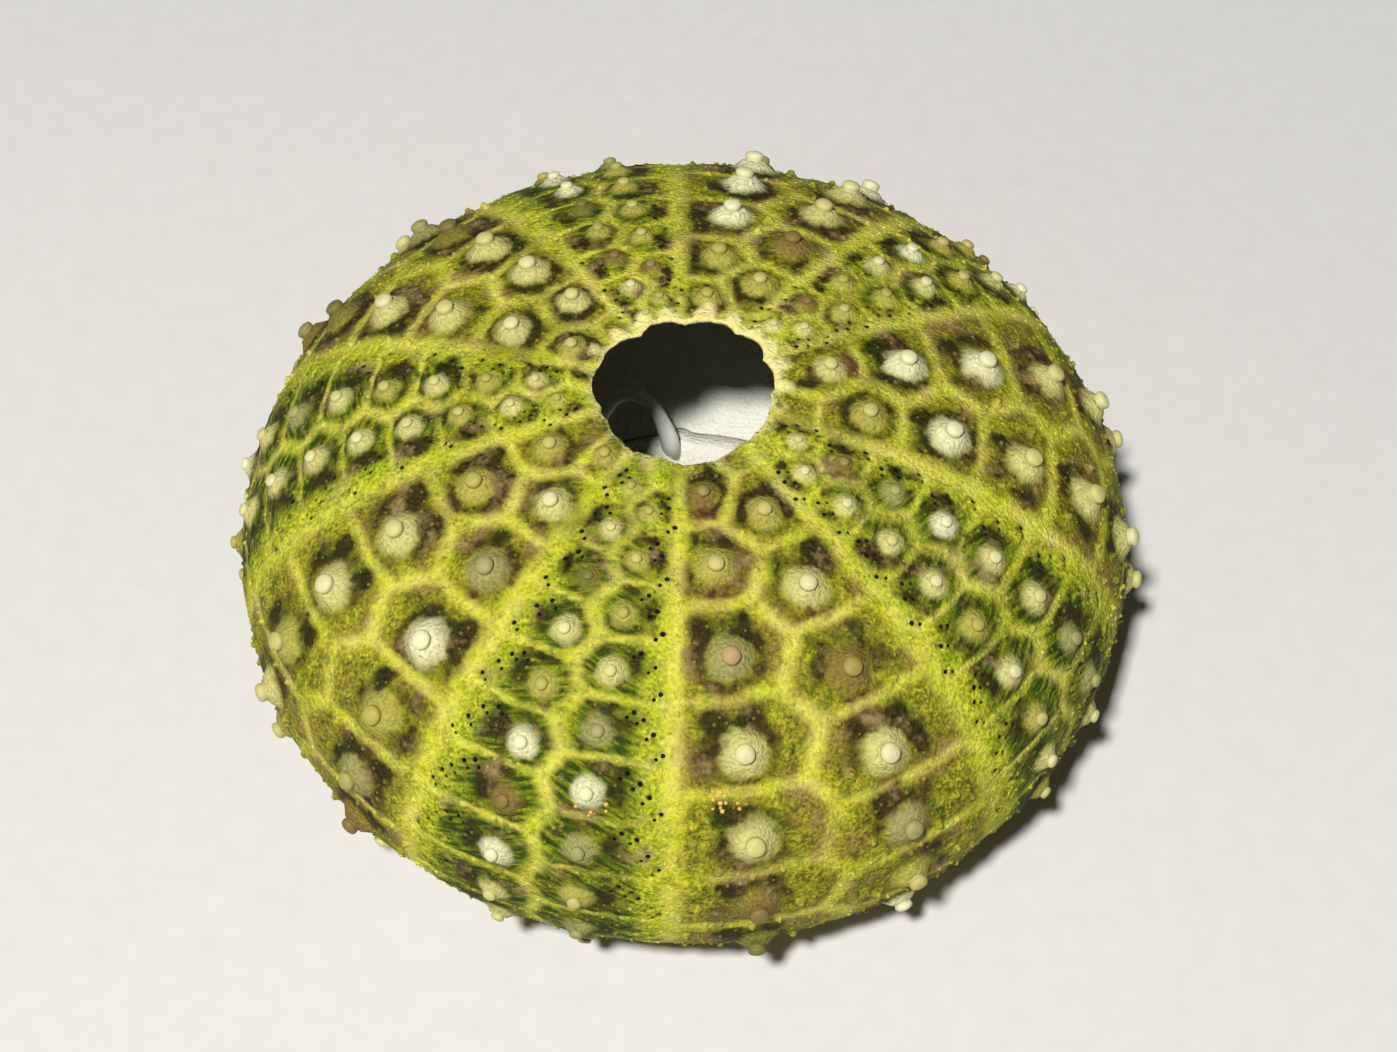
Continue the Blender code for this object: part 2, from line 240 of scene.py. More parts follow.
def make_seams():
    seams = []
    borders = [[(zone.low_border, HOLE_ARC), (zone.low_border, MOUTH_ARC)] for zone in ZONES]
    for n, zone in enumerate(ZONES):
        low, high = borders[n], borders[(n + 1) % len(ZONES)]
        middle = [(zone.middle, HOLE_ARC), (zone.middle, MOUTH_ARC)]
        wide = "broad" if zone.kind is BROAD else "narrow"
        for arc in seam_arcs(tubercle_arcs(zone.kind, *zone.low_column[1:])):
            shift = math.degrees(zone.kind.zigzag / radius_at(arc))
            ends = add_stop(low, zone.low_border, arc), add_stop(middle, zone.middle - shift, arc)
            seams.append(Seam(wide + " across", *ends))
        for arc in seam_arcs(tubercle_arcs(zone.kind, *zone.high_column[1:])):
            shift = math.degrees(zone.kind.zigzag / radius_at(arc))
            ends = add_stop(middle, zone.middle + shift, arc), add_stop(high, zone.high_border, arc)
            seams.append(Seam(wide + " across", *ends))
        seams += lines_down(wide + " middle", middle)
    for stops in borders:
        seams += lines_down("border", stops)
    return seams


seams = make_seams()
print(len(seams), "pieces of seam")

# %% How far a place is from the seams
HALF_WIDTHS = {"border": 0.40, "broad middle": 0.33, "broad across": 0.23,
               "narrow middle": 0.28, "narrow across": 0.14}
SEAM_STEP = 0.05
NARROWER_AT_HOLE = 0.6  # share of a band's width at the hole, growing to 1 at FULL_WIDTH_ARC
FULL_WIDTH_ARC = 10.0
FAR_FROM_ANY = 9.0


def seam_samples(band):
    """Places at close steps along every seam of one band."""
    azimuths, arcs = [], []
    for seam in seams:
        if seam.band == band:
            gap = azimuth_gap(seam.start[0], seam.end[0])
            across = math.radians(gap) * radius_at((seam.start[1] + seam.end[1]) / 2)
            steps = 1 + int(math.hypot(across, seam.end[1] - seam.start[1]) / SEAM_STEP)
            share = np.linspace(0.0, 1.0, steps + 1)
            azimuths.append(seam.start[0] + share * gap)
            arcs.append(seam.start[1] + share * (seam.end[1] - seam.start[1]))
    return np.concatenate(azimuths), np.concatenate(arcs)


def make_tree(points):
    tree = kdtree.KDTree(len(points))
    for n, point in enumerate(points):
        tree.insert(point, n)
    tree.balance()
    return tree


seam_trees = {band: make_tree(shell_points(*seam_samples(band))) for band in HALF_WIDTHS}
print("bands of seam:", ", ".join(seam_trees))


def seam_distance(arcs, points):
    """Distance from the nearest seam, as a share of its half width."""
    growth = np.interp(arcs, (HOLE_ARC, FULL_WIDTH_ARC), (NARROWER_AT_HOLE, 1.0))
    nearest = np.full(len(points), FAR_FROM_ANY)
    for band, tree in seam_trees.items():
        distance = np.array([tree.find(p)[2] for p in points])
        nearest = np.minimum(nearest, distance / (HALF_WIDTHS[band] * growth))
    return nearest


# %% [markdown]
# ## Points of the outside
#
# An even grid would waste its points on flat plates and blur the knobs and the pores. The
# outside is a Delaunay net instead: rings of points round each tubercle and each pore, and
# loose rows of points everywhere else. The net is spread out on a plane by a map that keeps
# angles, as a sea chart does, so triangles that are well shaped there are so on the shell.

# %% Pores of the narrow zones
# Each narrow plate is pierced by a curved row of pore pairs between its tubercle and the
# border of its zone. A pore is about 0.2 mm wide, so it is modelled as a real pit.
rng = np.random.default_rng(7)
FEWEST_PAIRS = 3
MOST_PAIRS = 5
PAIR_PITCH = 0.42
PORE_FROM_BORDER = 0.42
PORE_FROM_TUBERCLE = 0.45  # share of the way to the border at which the row starts
PORE_FROM_BOSS = 0.1
SHORTEST_ROW = 0.3
ROW_CROWDING = 0.85  # powers that crowd the pairs towards the border and bend their row
ROW_BEND = 1.5
PORE_ROW_RISE = 0.38  # shares of the pitch by which the row starts above and ends below
PORE_ROW_DROP = 0.26
PAIR_OFFSET = (-0.24, -0.20)  # from the outer pore to its mate: towards the middle, down
PORE_WANDER = 0.035
MATE_WANDER = 0.03
PORE_GROWTH = (0.85, 1.15)
OUTER_PORE = 0.115
INNER_PORE = 0.09
PORE_FLOOR = 0.6  # radius of a pore's floor as a share of its rim's
FIRST_PORE_ARC = HOLE_ARC + 0.5
LAST_PORE_ARC = MOUTH_ARC - 1.2

Pore = namedtuple("Pore", "azimuth arc radius")


def towards_border(plate):
    """1 if the zone's border lies at higher azimuths than this plate's tubercle, else -1."""
    return -1 if plate.column == "low" else 1


def border_of(plate):
    return plate.zone.low_border if plate.column == "low" else plate.zone.high_border


def moved(azimuth, arc, across, up):
    """The place this far across, towards higher azimuths, and up from another, in mm."""
    return azimuth + math.degrees(across / radius_at(arc)), arc - up


def pores_of(plate):
    """The pore pairs of one narrow plate, on a quarter of an ellipse."""
    out = towards_border(plate)
    width = abs(math.radians(azimuth_gap(plate.azimuth, border_of(plate)))) * radius_at(plate.arc)
    near = max(plate.radius + PORE_FROM_BOSS, PORE_FROM_TUBERCLE * width)
    far = max(width - PORE_FROM_BORDER, near + SHORTEST_ROW)
    pairs = int(np.clip(round((far - near) / PAIR_PITCH) + 1, FEWEST_PAIRS, MOST_PAIRS))
    found = []
    for share in np.linspace(0.0, 1.0, pairs):
        across = near + (far - near) * share ** ROW_CROWDING
        up = plate.pitch * (PORE_ROW_RISE - (PORE_ROW_RISE + PORE_ROW_DROP) * share ** ROW_BEND)
        shift = rng.normal(0.0, PORE_WANDER, 2)
        size = rng.uniform(*PORE_GROWTH)
        place = moved(plate.azimuth, plate.arc, out * (across + shift[0]), up + shift[1])
        mate = moved(*place, out * PAIR_OFFSET[0], PAIR_OFFSET[1] + rng.normal(0.0, MATE_WANDER))
        found.append(Pore(*place, OUTER_PORE * size))
        found.append(Pore(*mate, INNER_PORE * size))
    return [p for p in found if FIRST_PORE_ARC < p.arc < LAST_PORE_ARC]


pores = [pore for plate in narrow_plates for pore in pores_of(plate)]
print(len(pores), "pores")

# %% The rims of the hole and of the mouth
# The hole's rim steps in a little at each tooth, where the lost plates of the pole had
# joined it, and bulges out between. The teeth are (azimuth, radius).
RIM_POINTS = 240
HOLE_TEETH = ((10, 3.56), (27, 3.47), (39, 3.8), (55, 3.55), (66, 3.76), (89, 3.36), (107, 3.62),
              (120, 3.24), (141, 3.58), (155, 3.46), (170, 3.56), (193, 3.23), (205, 3.2),
              (226, 3.32), (240, 3.36), (252, 3.2), (266, 3.45), (283, 3.49), (309, 3.3),
              (324, 3.36), (343, 3.39), (357, 3.34))
BULGE = 0.07
BULGE_FULLNESS = 0.7  # power of the bulge's sine: below 1 is fuller
RIM_ROUGH = 0.05
RIM_ROUGH_DEGREES = 4.5
GILL_NOTCH = 0.35
GILL_HALF_WIDTH = 2.6  # degrees

rim_azimuths = np.arange(RIM_POINTS) * 360.0 / RIM_POINTS


def edge_at(azimuths, edge):
    """Arc of an edge, the hole's or the mouth's, at these azimuths."""
    return np.interp(azimuths % 360.0, rim_azimuths, edge, period=360.0)


def hole_arcs():
    """Arc of the hole's edge at each azimuth of the rim."""
    tooth_azimuths = np.array([tooth[0] for tooth in HOLE_TEETH], float)
    tooth_radii = np.array([tooth[1] for tooth in HOLE_TEETH])
    radius = np.interp(rim_azimuths, tooth_azimuths, tooth_radii, period=360.0)
    after = np.searchsorted(tooth_azimuths, rim_azimuths, side="right") % len(HOLE_TEETH)
    width = azimuth_gap(tooth_azimuths[after - 1], tooth_azimuths[after]) % 360.0
    share = (azimuth_gap(tooth_azimuths[after - 1], rim_azimuths) % 360.0) / width
    radius = radius + BULGE * np.abs(np.sin(math.pi * share)) ** BULGE_FULLNESS
    rough = [noise.noise((azimuth / RIM_ROUGH_DEGREES, 0.0, 0.0)) for azimuth in rim_azimuths]
    radius = radius + RIM_ROUGH * np.array(rough)
    return np.interp(radius, RADII[:OUTLINE_STEPS], ARCS[:OUTLINE_STEPS])


def mouth_arcs():
    """Arc of the mouth's edge at each azimuth, with a small gill notch at each zone's border."""
    arcs = np.full(RIM_POINTS, MOUTH_ARC)
    for zone in ZONES:
        gap = np.abs(azimuth_gap(zone.low_border, rim_azimuths))
        arcs -= GILL_NOTCH * np.exp(-(gap / GILL_HALF_WIDTH) ** 2)
    return arcs


hole_edge, mouth_edge = hole_arcs(), mouth_arcs()
print("hole radius, mm:", round(float(radius_at(hole_edge).min()), 2), "to",
      round(float(radius_at(hole_edge).max()), 2))

# %% Rings of points round the tubercles and the pores
# Each ring of a tubercle is its radius, as a share of the tubercle's, and its count of points
BROAD_RINGS = ((1.18, 18), (1.0, 18), (0.84, 16), (0.7, 14), (0.58, 12), (0.48, 10), (0.36, 8))
NARROW_RINGS = ((1.18, 14), (1.0, 14), (0.8, 12), (0.64, 10), (0.5, 8), (0.38, 6))
RING_TURN = 0.5  # from one ring to the next, in radians
PORE_SIDES = 6
FEATURE_FROM_EDGE = 0.12


def ring(azimuth, arc, radius, sides, turn=0.0):
    """Azimuths and arcs of a ring of places round another."""
    angles = turn + np.arange(sides) * math.tau / sides
    return (azimuth + np.degrees(radius * np.cos(angles) / radius_at(arc)),
            arc - radius * np.sin(angles))


def feature_points():
    """Azimuths, arcs and depths of the rings, the depth being 1 on a pore's floor."""
    rings = []
    for plate in plates:
        for number, (share, sides) in enumerate(BROAD_RINGS if plate.kind is BROAD else NARROW_RINGS):
            around = ring(plate.azimuth, plate.arc, share * plate.radius, sides, number * RING_TURN)
            rings.append((*around, np.zeros(sides)))
    for pore in pores:
        turn = rng.uniform(0.0, 1.0)
        rim = ring(pore.azimuth, pore.arc, pore.radius, PORE_SIDES, turn)
        floor = ring(pore.azimuth, pore.arc, pore.radius * PORE_FLOOR, PORE_SIDES, turn)
        rings.append((*rim, np.zeros(PORE_SIDES)))
        rings.append((*floor, np.ones(PORE_SIDES)))
    return [np.concatenate(values) for values in zip(*rings)]


ring_azimuths, ring_arcs, ring_depths = feature_points()
on_plates = ring_arcs > edge_at(ring_azimuths, hole_edge) + FEATURE_FROM_EDGE
on_plates &= ring_arcs < edge_at(ring_azimuths, mouth_edge) - FEATURE_FROM_EDGE
ring_azimuths, ring_arcs = ring_azimuths[on_plates], ring_arcs[on_plates]
ring_depths = ring_depths[on_plates]
print(len(ring_arcs), "points on rings")

# %% Loose rows of points between them
SPACING = 0.27
JITTER = 0.22  # this and the next as shares of the spacing
CLEAR_OF_RINGS = 0.5


def loose_points():
    """Azimuths and arcs of a jittered net of rows, as far as it keeps clear of the rings."""
    azimuths, arcs = [], []
    for row, arc in enumerate(np.arange(hole_edge.min(), MOUTH_ARC, SPACING * math.sqrt(0.75))):
        count = int(round(math.tau * radius_at(arc) / SPACING))
        azimuths.append((np.arange(count) + 0.5 * (row % 2)) * 360.0 / count)
        arcs.append(np.full(count, arc))
    azimuths, arcs = np.concatenate(azimuths), np.concatenate(arcs)
    shifts = rng.uniform(-JITTER, JITTER, (2, len(arcs))) * SPACING
    azimuths = azimuths + np.degrees(shifts[0] / radius_at(arcs))
    arcs = arcs + shifts[1]
    margin = CLEAR_OF_RINGS * SPACING
    kept = arcs > edge_at(azimuths, hole_edge) + margin
    kept &= arcs < edge_at(azimuths, mouth_edge) - margin
    azimuths, arcs = azimuths[kept], arcs[kept]
    tree = make_tree(shell_points(ring_azimuths, ring_arcs))
    clear = np.array([tree.find(p)[2] > margin for p in shell_points(azimuths, arcs)])
    return azimuths[clear], arcs[clear]


loose_azimuths, loose_arcs = loose_points()
azimuths = np.concatenate([rim_azimuths, rim_azimuths, ring_azimuths, loose_azimuths])
arcs = np.concatenate([hole_edge, mouth_edge, ring_arcs, loose_arcs])
depths = np.concatenate([np.zeros(2 * RIM_POINTS), ring_depths, np.zeros(len(loose_arcs))])
print(len(arcs), "points on the outside")

# %% The net between the points
CHART_START = 2.0  # mm of arc, inside the hole
CHART_STEP = 0.01
SAME_POINT = 1e-9


def chart(azimuths, arcs):
    """The points on a plane, by the map that keeps angles."""
    steps = np.arange(CHART_START, MOUTH_ARC + CHART_STEP, CHART_STEP)
    stretch = np.concatenate([[0.0], np.cumsum(CHART_STEP / radius_at(steps))])[:-1]
    far = np.exp(np.interp(arcs, steps, stretch))
    turn = np.radians(azimuths)
    return np.column_stack([far * np.cos(turn), far * np.sin(turn)])


def make_net():
    """Triangles between the points, all counterclockwise seen from outside."""
    flat = chart(azimuths, arcs)
    around = np.arange(RIM_POINTS)
    rims = [(int(a), int(b)) for a, b in zip(around, np.roll(around, -1))]
    rims += [(a + RIM_POINTS, b + RIM_POINTS) for a, b in rims]
    made = delaunay_2d_cdt([Vector(p) for p in flat], rims, [], 0, SAME_POINT)
    places = np.array([p[:] for p in made[0]])
    source = np.array([points[0] for points in made[3]])
    triangles = np.array(made[2])
    middles = places[triangles].mean(axis=1)
    turn = np.degrees(np.arctan2(middles[:, 1], middles[:, 0])) % 360.0
    far = np.hypot(middles[:, 0], middles[:, 1])
    hole, mouth = (np.hypot(*chart(rim_azimuths, edge).T) for edge in (hole_edge, mouth_edge))
    on_shell = far > edge_at(turn, hole)
    on_shell &= far < edge_at(turn, mouth)
    triangles = source[triangles[on_shell]]
    a, b, c = (flat[triangles[:, n]] for n in range(3))
    turned = (b[:, 0] - a[:, 0]) * (c[:, 1] - a[:, 1]) < (b[:, 1] - a[:, 1]) * (c[:, 0] - a[:, 0])
    triangles[turned] = triangles[turned][:, ::-1]
    return triangles


net = make_net()
print(len(net), "triangles on the outside")

# %% [markdown]
# ## What each place on the shell looks like
#
# The pattern of a plate follows its growth: a pale boss under the knob, a dark ring round
# it, two dark lobes above, a brownish patch below, and the pale seams at its edges. Painting
# these in the material would need the place of every tubercle there. So the pattern is
# worked out here for each point, as smooth fields from 0 to 1 that the material later reads
# by name, sharpens and breaks up with fine noise.

# %% Colours of the bosses and knobs
# White and cream are clean lime, tan is lightly stained, and the rest are worn or covered with
# dry skin. Chance gives each boss its tint, by how often each comes, and half of the knobs are
# a step paler than their boss. Near the hole the plates are young and less worn.
TINTS = {"dull": "#736F30", "brown": "#806A34", "pink": "#BE8E68", "grey": "#98945A",
         "tan": "#AAA24A", "cream": "#C6C078", "white": "#DCD9AA"}
PALER = ("dull", "brown", "grey", "tan", "cream", "white")
YOUNG = {"tan": 5, "cream": 3, "brown": 2}
GROWN = {"white": 3, "cream": 7, "tan": 4, "grey": 2, "brown": 1, "dull": 1}
YOUNG_TO_ARC = 8.0
PALER_CHANCE = 0.5
# The few that catch the eye on the real shell: the whitest, a worn one, and one stained pink
STANDOUTS = {("BC", "low", 1): ("white", "white"), ("BC", "high", 1): ("white", "white"),
             ("BC", "high", 2): ("white", "white"), ("EA", "high", 3): ("white", "white"),
             ("A", "low", 5): ("white", "white"), ("A", "high", 5): ("white", "white"),
             ("AB", "low", 2): ("grey", "pink"), ("AB", "high", 2): ("brown", "tan")}


def drawn_tints():
    """The names of the boss's and the knob's tint for each plate, by zone, column and number."""
    draws = np.random.default_rng(23)
    drawn = {}
    for plate in plates:
        often = YOUNG if plate.arc < YOUNG_TO_ARC else GROWN
        boss = str(draws.choice(list(often), p=np.array(list(often.values())) / sum(often.values())))
        steps = PALER.index(boss) + int(draws.uniform() < PALER_CHANCE)
        knob = PALER[min(steps, len(PALER) - 1)]
        drawn[plate.zone.name, plate.column, plate.number] = (boss, knob)
    drawn.update(STANDOUTS)
    return drawn


TINT_NAMES = drawn_tints()
print({tint: sum(boss == tint for boss, _ in TINT_NAMES.values()) for tint in TINTS})


def linear(colour):
    """An sRGB hex colour as linear red, green and blue."""
    parts = [int(colour[n:n + 2], 16) / 255 for n in (1, 3, 5)]
    return tuple(c / 12.92 if c <= 0.04045 else ((c + 0.055) / 1.055) ** 2.4 for c in parts)


def tints_of(plate):
    """Linear colours of a plate's boss and of its knob."""
    boss, knob = TINT_NAMES[plate.zone.name, plate.column, plate.number]
    return linear(TINTS[boss]), linear(TINTS[knob])


# %% Fields over the shell
LOW_BORDERS = np.array([zone.low_border for zone in ZONES])
WARPS = ((0.9, 0.11), (0.3, 0.06))  # (size of a wave, how far it moves a line), in mm
PATTERN_REACH = 2.6
LUCK = (0.15, 1.0)  # least and most of a dark patch, drawn for each plate
NO_BOSS = 4.0
ZONE_BLEND = 0.3
FIELDS = ("seam", "boss", "dark", "brown", "narrow", "rim", "comb", "inward")
COMB_SLANT = 0.4  # mm down for each mm out towards the border


def wander(points, size, amount):
    """The points moved about by smooth noise, for lines that are not ruled."""
    return points + amount * np.array([noise.noise_vector(Vector(p) / size)[:] for p in points])


def across_and_up(plate, azimuths, arcs):
    """How far places lie from a tubercle towards its border and towards the hole, in mm."""
    across = np.radians(azimuth_gap(plate.azimuth, azimuths)) * radius_at((plate.arc + arcs) / 2)
    return towards_border(plate) * across, plate.arc - arcs


def blot(across, up, place, size):
    """1 at this place, falling off smoothly over this size."""
    return np.exp(-((across - place[0]) / size[0]) ** 2 - ((up - place[1]) / size[1]) ** 2)


def broad_pattern(plate, across, up, luck):
    """Dark and brown of one broad plate."""
    far = np.hypot(across, up) / plate.radius
    strength = 0.1 + 0.45 * luck[0] + 0.25 * between(up, -0.5, 0.5)
    ring_dark = np.exp(-((far - 1.15) / 0.34) ** 2) * strength
    inner_ear = blot(across, up, (-0.7, 0.38 * plate.pitch), (0.45, 0.55)) * 1.5 * luck[1]
    outer_ear = blot(across, up, (1.05, 0.33 * plate.pitch), (0.55, 0.6)) * 1.5 * luck[2]
    side = blot(across, up, (1.4 * plate.radius, -0.1), (0.45, 0.9)) * luck[3]
    below = blot(across, up, (0.0, -1.3 * plate.radius), (0.9, 0.45)) * luck[4]
    return np.maximum.reduce([ring_dark, inner_ear, outer_ear, side]), below


def narrow_pattern(plate, across, up, luck):
    """Dark and brown of one narrow plate, whose dark lies between the knob and the pores."""
    far = np.hypot(across, up) / plate.radius
    ring_dark = np.exp(-((far - 1.2) / 0.33) ** 2) * (0.1 + 0.35 * luck[0])
    beside = blot(across, up, (plate.radius + 0.3, 0.25), (0.5, 0.8)) * (0.55 + 0.4 * luck[1])
    above = blot(across, up, (0.3, 0.45 * plate.pitch), (0.5, 0.3)) * luck[2]
    below = blot(across, up, (-0.5, -1.2 * plate.radius), (0.4, 0.35)) * luck[4]
    return np.maximum.reduce([ring_dark, beside, above]), below


def fields(azimuths, arcs):
    """The fields at these places, and the colour of the nearest boss."""
    points = shell_points(azimuths, arcs)
    for size, amount in WARPS:
        points = wander(points, size, amount)
    found = {name: np.zeros(len(arcs)) for name in FIELDS}
    found["seam"] = seam_distance(arcs, points)
    found["boss"] = np.full(len(arcs), NO_BOSS)
    tint = np.zeros((len(arcs), 3))
    draws = np.random.default_rng(11)
    for plate in plates:
        luck = draws.uniform(*LUCK, 5)
        across, up = across_and_up(plate, azimuths, arcs)
        near = np.flatnonzero((np.abs(across) < PATTERN_REACH) & (np.abs(up) < PATTERN_REACH))
        across, up = across[near], up[near]
        far = np.hypot(across, up) / plate.radius
        closer = far < found["boss"][near]
        found["boss"][near[closer]] = far[closer]
        tint[near[closer]] = tints_of(plate)[0]
        pattern = broad_pattern if plate.kind is BROAD else narrow_pattern
        dark, brown = pattern(plate, across, up, luck)
        found["dark"][near] = np.maximum(found["dark"][near], dark)
        found["brown"][near] = np.maximum(found["brown"][near], brown)
    zone = (np.searchsorted(LOW_BORDERS, azimuths % 360.0, side="right") - 1) % len(ZONES)
    low = np.abs(azimuth_gap(LOW_BORDERS[zone], azimuths))
    high = np.abs(azimuth_gap(LOW_BORDERS[(zone + 1) % len(ZONES)], azimuths))
    inside_zone = np.radians(np.minimum(low, high)) * radius_at(arcs)
    is_narrow = np.array([z.kind is NARROW for z in ZONES])[zone]
    from_border = np.where(is_narrow, inside_zone, -inside_zone)
    found["narrow"] = between(from_border, -ZONE_BLEND, ZONE_BLEND)
    found["inward"] = inside_zone
    found["comb"] = arcs + COMB_SLANT * inside_zone
    found["rim"] = rim_band(azimuths, arcs)
    return found, tint


# %% The cream edge of the hole
# The last small plates end in pale bumps, one between each two teeth. On the far side they
# are worn cream, and elsewhere only a thin line along the edge is.
THIN_EDGE = 0.08
THIN_ELSEWHERE = 0.5
BUMP_FROM_EDGE = 0.34
BUMP_SIZE = (0.48, 0.52)  # along the edge and away from it
FAR_SIDE = 70.0  # azimuth, and how many degrees to each side the worn part reaches
FAR_SIDE_SPREAD = 75.0
BUMP_ELSEWHERE = 0.3
BUMP_REACH = 2.0
bump_teeth = np.array([tooth[0] for tooth in HOLE_TEETH], float)
bump_azimuths = bump_teeth + (azimuth_gap(bump_teeth, np.roll(bump_teeth, -1)) % 360.0) / 2


def worn(azimuths, elsewhere):
    """1 on the far side of the hole, falling to this share elsewhere."""
    far = np.exp(-(azimuth_gap(FAR_SIDE, azimuths) / FAR_SIDE_SPREAD) ** 4)
    return elsewhere + (1.0 - elsewhere) * far


def rim_band(azimuths, arcs):
    """1 on the pale edge and on its bumps, for the places given."""
    past = arcs - edge_at(azimuths, hole_edge)
    band = worn(azimuths, THIN_ELSEWHERE) * (1.0 - between(past, THIN_EDGE, 3.0 * THIN_EDGE))
    near = np.flatnonzero(past < BUMP_REACH)
    for azimuth in bump_azimuths:
        across = np.radians(azimuth_gap(azimuth, azimuths[near])) * radius_at(arcs[near])
        bump = blot(across, past[near], (0.0, BUMP_FROM_EDGE), BUMP_SIZE)
        bump *= worn(azimuth, BUMP_ELSEWHERE)
        band[near] = np.maximum(band[near], bump)
    return band


outside, outside_tint = fields(azimuths, arcs)
print({name: (round(float(v.min()), 2), round(float(v.max()), 2)) for name, v in outside.items()})

# %% [markdown]
# ## The relief of the outside
#
# Each plate is a very low dome that dips at its seams. On it stands the boss, a cone with a
# flat top, in a shallow moat. The narrow zones are ribbed between the pores, and all of it is
# slightly uneven, as grown things are. All this is done by lifting points off the outline,
# so that the silhouette shows it too and the mesh holds it.

# %% Lift of each point
# How far from its middle, and how high, a boss is there, both as shares of its radius
BOSS_PROFILE = ((0.0, 0.42, 0.50, 0.60, 0.72, 0.86, 1.0, 1.16, 1.4),
                (0.40, 0.40, 0.37, 0.26, 0.15, 0.06, 0.0, -0.035, 0.0))
PLATE_DOME = 0.07
SEAM_DIP_REACH = 2.2
RIB_HEIGHT = 0.045
RIB_SIZE = 0.34
RIB_SQUEEZE = 1.5  # ribs run round the shell, so their noise is finer upwards
GRAIN_LIFT = 0.05
GRAIN_SIZES = (0.55, 2.6)
PORE_DEPTH = 0.32
RIM_BUMP = 0.12


def tree_of(places):
    """A search tree of things that have an azimuth and an arc."""
    return make_tree(shell_points(*np.array([(p.azimuth, p.arc) for p in places]).T))


tubercle_tree = tree_of(plates)


def boss_radii(azimuths, arcs):
    """Radius of the nearest tubercle, for scaling its profile."""
    nearest = [tubercle_tree.find(p)[1] for p in shell_points(azimuths, arcs)]
    return np.array([p.radius for p in plates])[nearest]


def lifts_of(found, azimuths, arcs):
    """How far each place stands off the outline, in mm."""
    points = shell_points(azimuths, arcs)
    dome = PLATE_DOME * (between(found["seam"], 0.0, SEAM_DIP_REACH) - 0.5)
    boss = np.interp(found["boss"], *BOSS_PROFILE) * boss_radii(azimuths, arcs)
    ribs = np.array([noise.noise(Vector((p[0], p[1], p[2] * RIB_SQUEEZE)) / RIB_SIZE)
                     for p in points])
    rough = sum(np.array([noise.noise(Vector(p) / size) for p in points]) for size in GRAIN_SIZES)
    flat = between(found["boss"], 0.5, 1.2)
    boss = np.maximum(boss, RIM_BUMP * found["rim"] * flat)
    return boss + flat * (dome + RIB_HEIGHT * ribs * found["narrow"] + GRAIN_LIFT * rough)


outside_lift = lifts_of(outside, azimuths, arcs) - PORE_DEPTH * depths
print("lift, mm:", round(float(outside_lift.min()), 2), "to", round(float(outside_lift.max()), 2))

# %% [markdown]
# ## The wall and the inside
#
# The wall is about a millimetre thick and thins towards both edges. The plain way to give a
# surface thickness is the Solidify modifier, but the inside is not a copy of the outside: it
# is smooth, it has none of the tubercles, and it carries a raised girdle round the mouth for
# the muscles of the jaw. So the inside is a net of its own, joined to the outside at both
# rims by rounded edges, and the shell is one closed mesh.

# %% Rows of the inside, from the hole's edge to the mouth's
WALL = 1.1
WALL_AT_HOLE = 0.38
WALL_AT_MOUTH = 0.8
THINNING_ARC = 4.0
WALL_ROWS = 40
WALL_START = 0.4
ROW_SPREAD = 0.9  # power that opens the rows towards the hole
GIRDLE_ROWS = 20
GIRDLE_ARC = 2.8  # mm above the mouth's edge that the girdle's rows cover
GIRDLE_END = 0.1
# Distances above the mouth's edge, and the height of the girdle there
GIRDLE = ((2.35, 2.2, 1.6, 1.0, 0.5, 0.15), (0.0, 0.3, 0.72, 0.85, 0.55, 0.0))
NARROW_DIP = (5.0, 0.55)  # the girdle's dip at a zone's middle: degrees wide, share lost
BROAD_DIP = (2.2, 0.35)
CREASE_SHADE_HALF_WIDTH = 0.09  # half width of the line of painted shade along the girdle's foot
HOLE_ROUND = ((0.0, -0.05), (0.10, -0.12), (0.24, -0.20))  # (arc, lift) steps round the edge
MOUTH_ROUND = ((0.05, -0.50), (0.08, -0.28), (0.04, -0.11))


def wall_at(arcs):
    near = (HOLE_ARC, HOLE_ARC + THINNING_ARC, MOUTH_ARC - THINNING_ARC, MOUTH_ARC)
    return np.interp(arcs, near, (WALL_AT_HOLE, WALL, WALL, WALL_AT_MOUTH))


def girdle_at(azimuths, above):
    """Height of the girdle, which dips at the middle of each zone, most in the narrow ones."""
    height = np.interp(above, GIRDLE[0][::-1], GIRDLE[1][::-1])
    dip = np.zeros(len(azimuths))
    for zone in ZONES:
        spread, depth = NARROW_DIP if zone.kind is NARROW else BROAD_DIP
        dip = np.maximum(dip, depth * np.exp(-(azimuth_gap(zone.middle, azimuths) / spread) ** 2))
    return height * (1.0 - dip)


def inside_rows():
    """(arcs, lifts) of each ring of the inside, from the hole to the mouth."""
    rows = [(hole_edge + arc, np.full(RIM_POINTS, lift)) for arc, lift in HOLE_ROUND]
    shares = np.linspace(0.0, 1.0, WALL_ROWS, endpoint=False) ** ROW_SPREAD
    first = hole_edge + WALL_START
    row_arcs = [first + share * (mouth_edge - GIRDLE_ARC - hole_edge - WALL_START) for share in shares]
    row_arcs += [mouth_edge - above for above in np.linspace(GIRDLE_ARC, GIRDLE_END, GIRDLE_ROWS)]
    for row in row_arcs:
        rows.append((row, -wall_at(row) - girdle_at(rim_azimuths, mouth_edge - row)))
    rows += [(mouth_edge + arc, np.full(RIM_POINTS, lift)) for arc, lift in MOUTH_ROUND]
    return rows


rows = inside_rows()
inside_azimuths = np.tile(rim_azimuths, len(rows))
inside_arcs = np.concatenate([row[0] for row in rows])
inside_lift = np.concatenate([row[1] for row in rows])


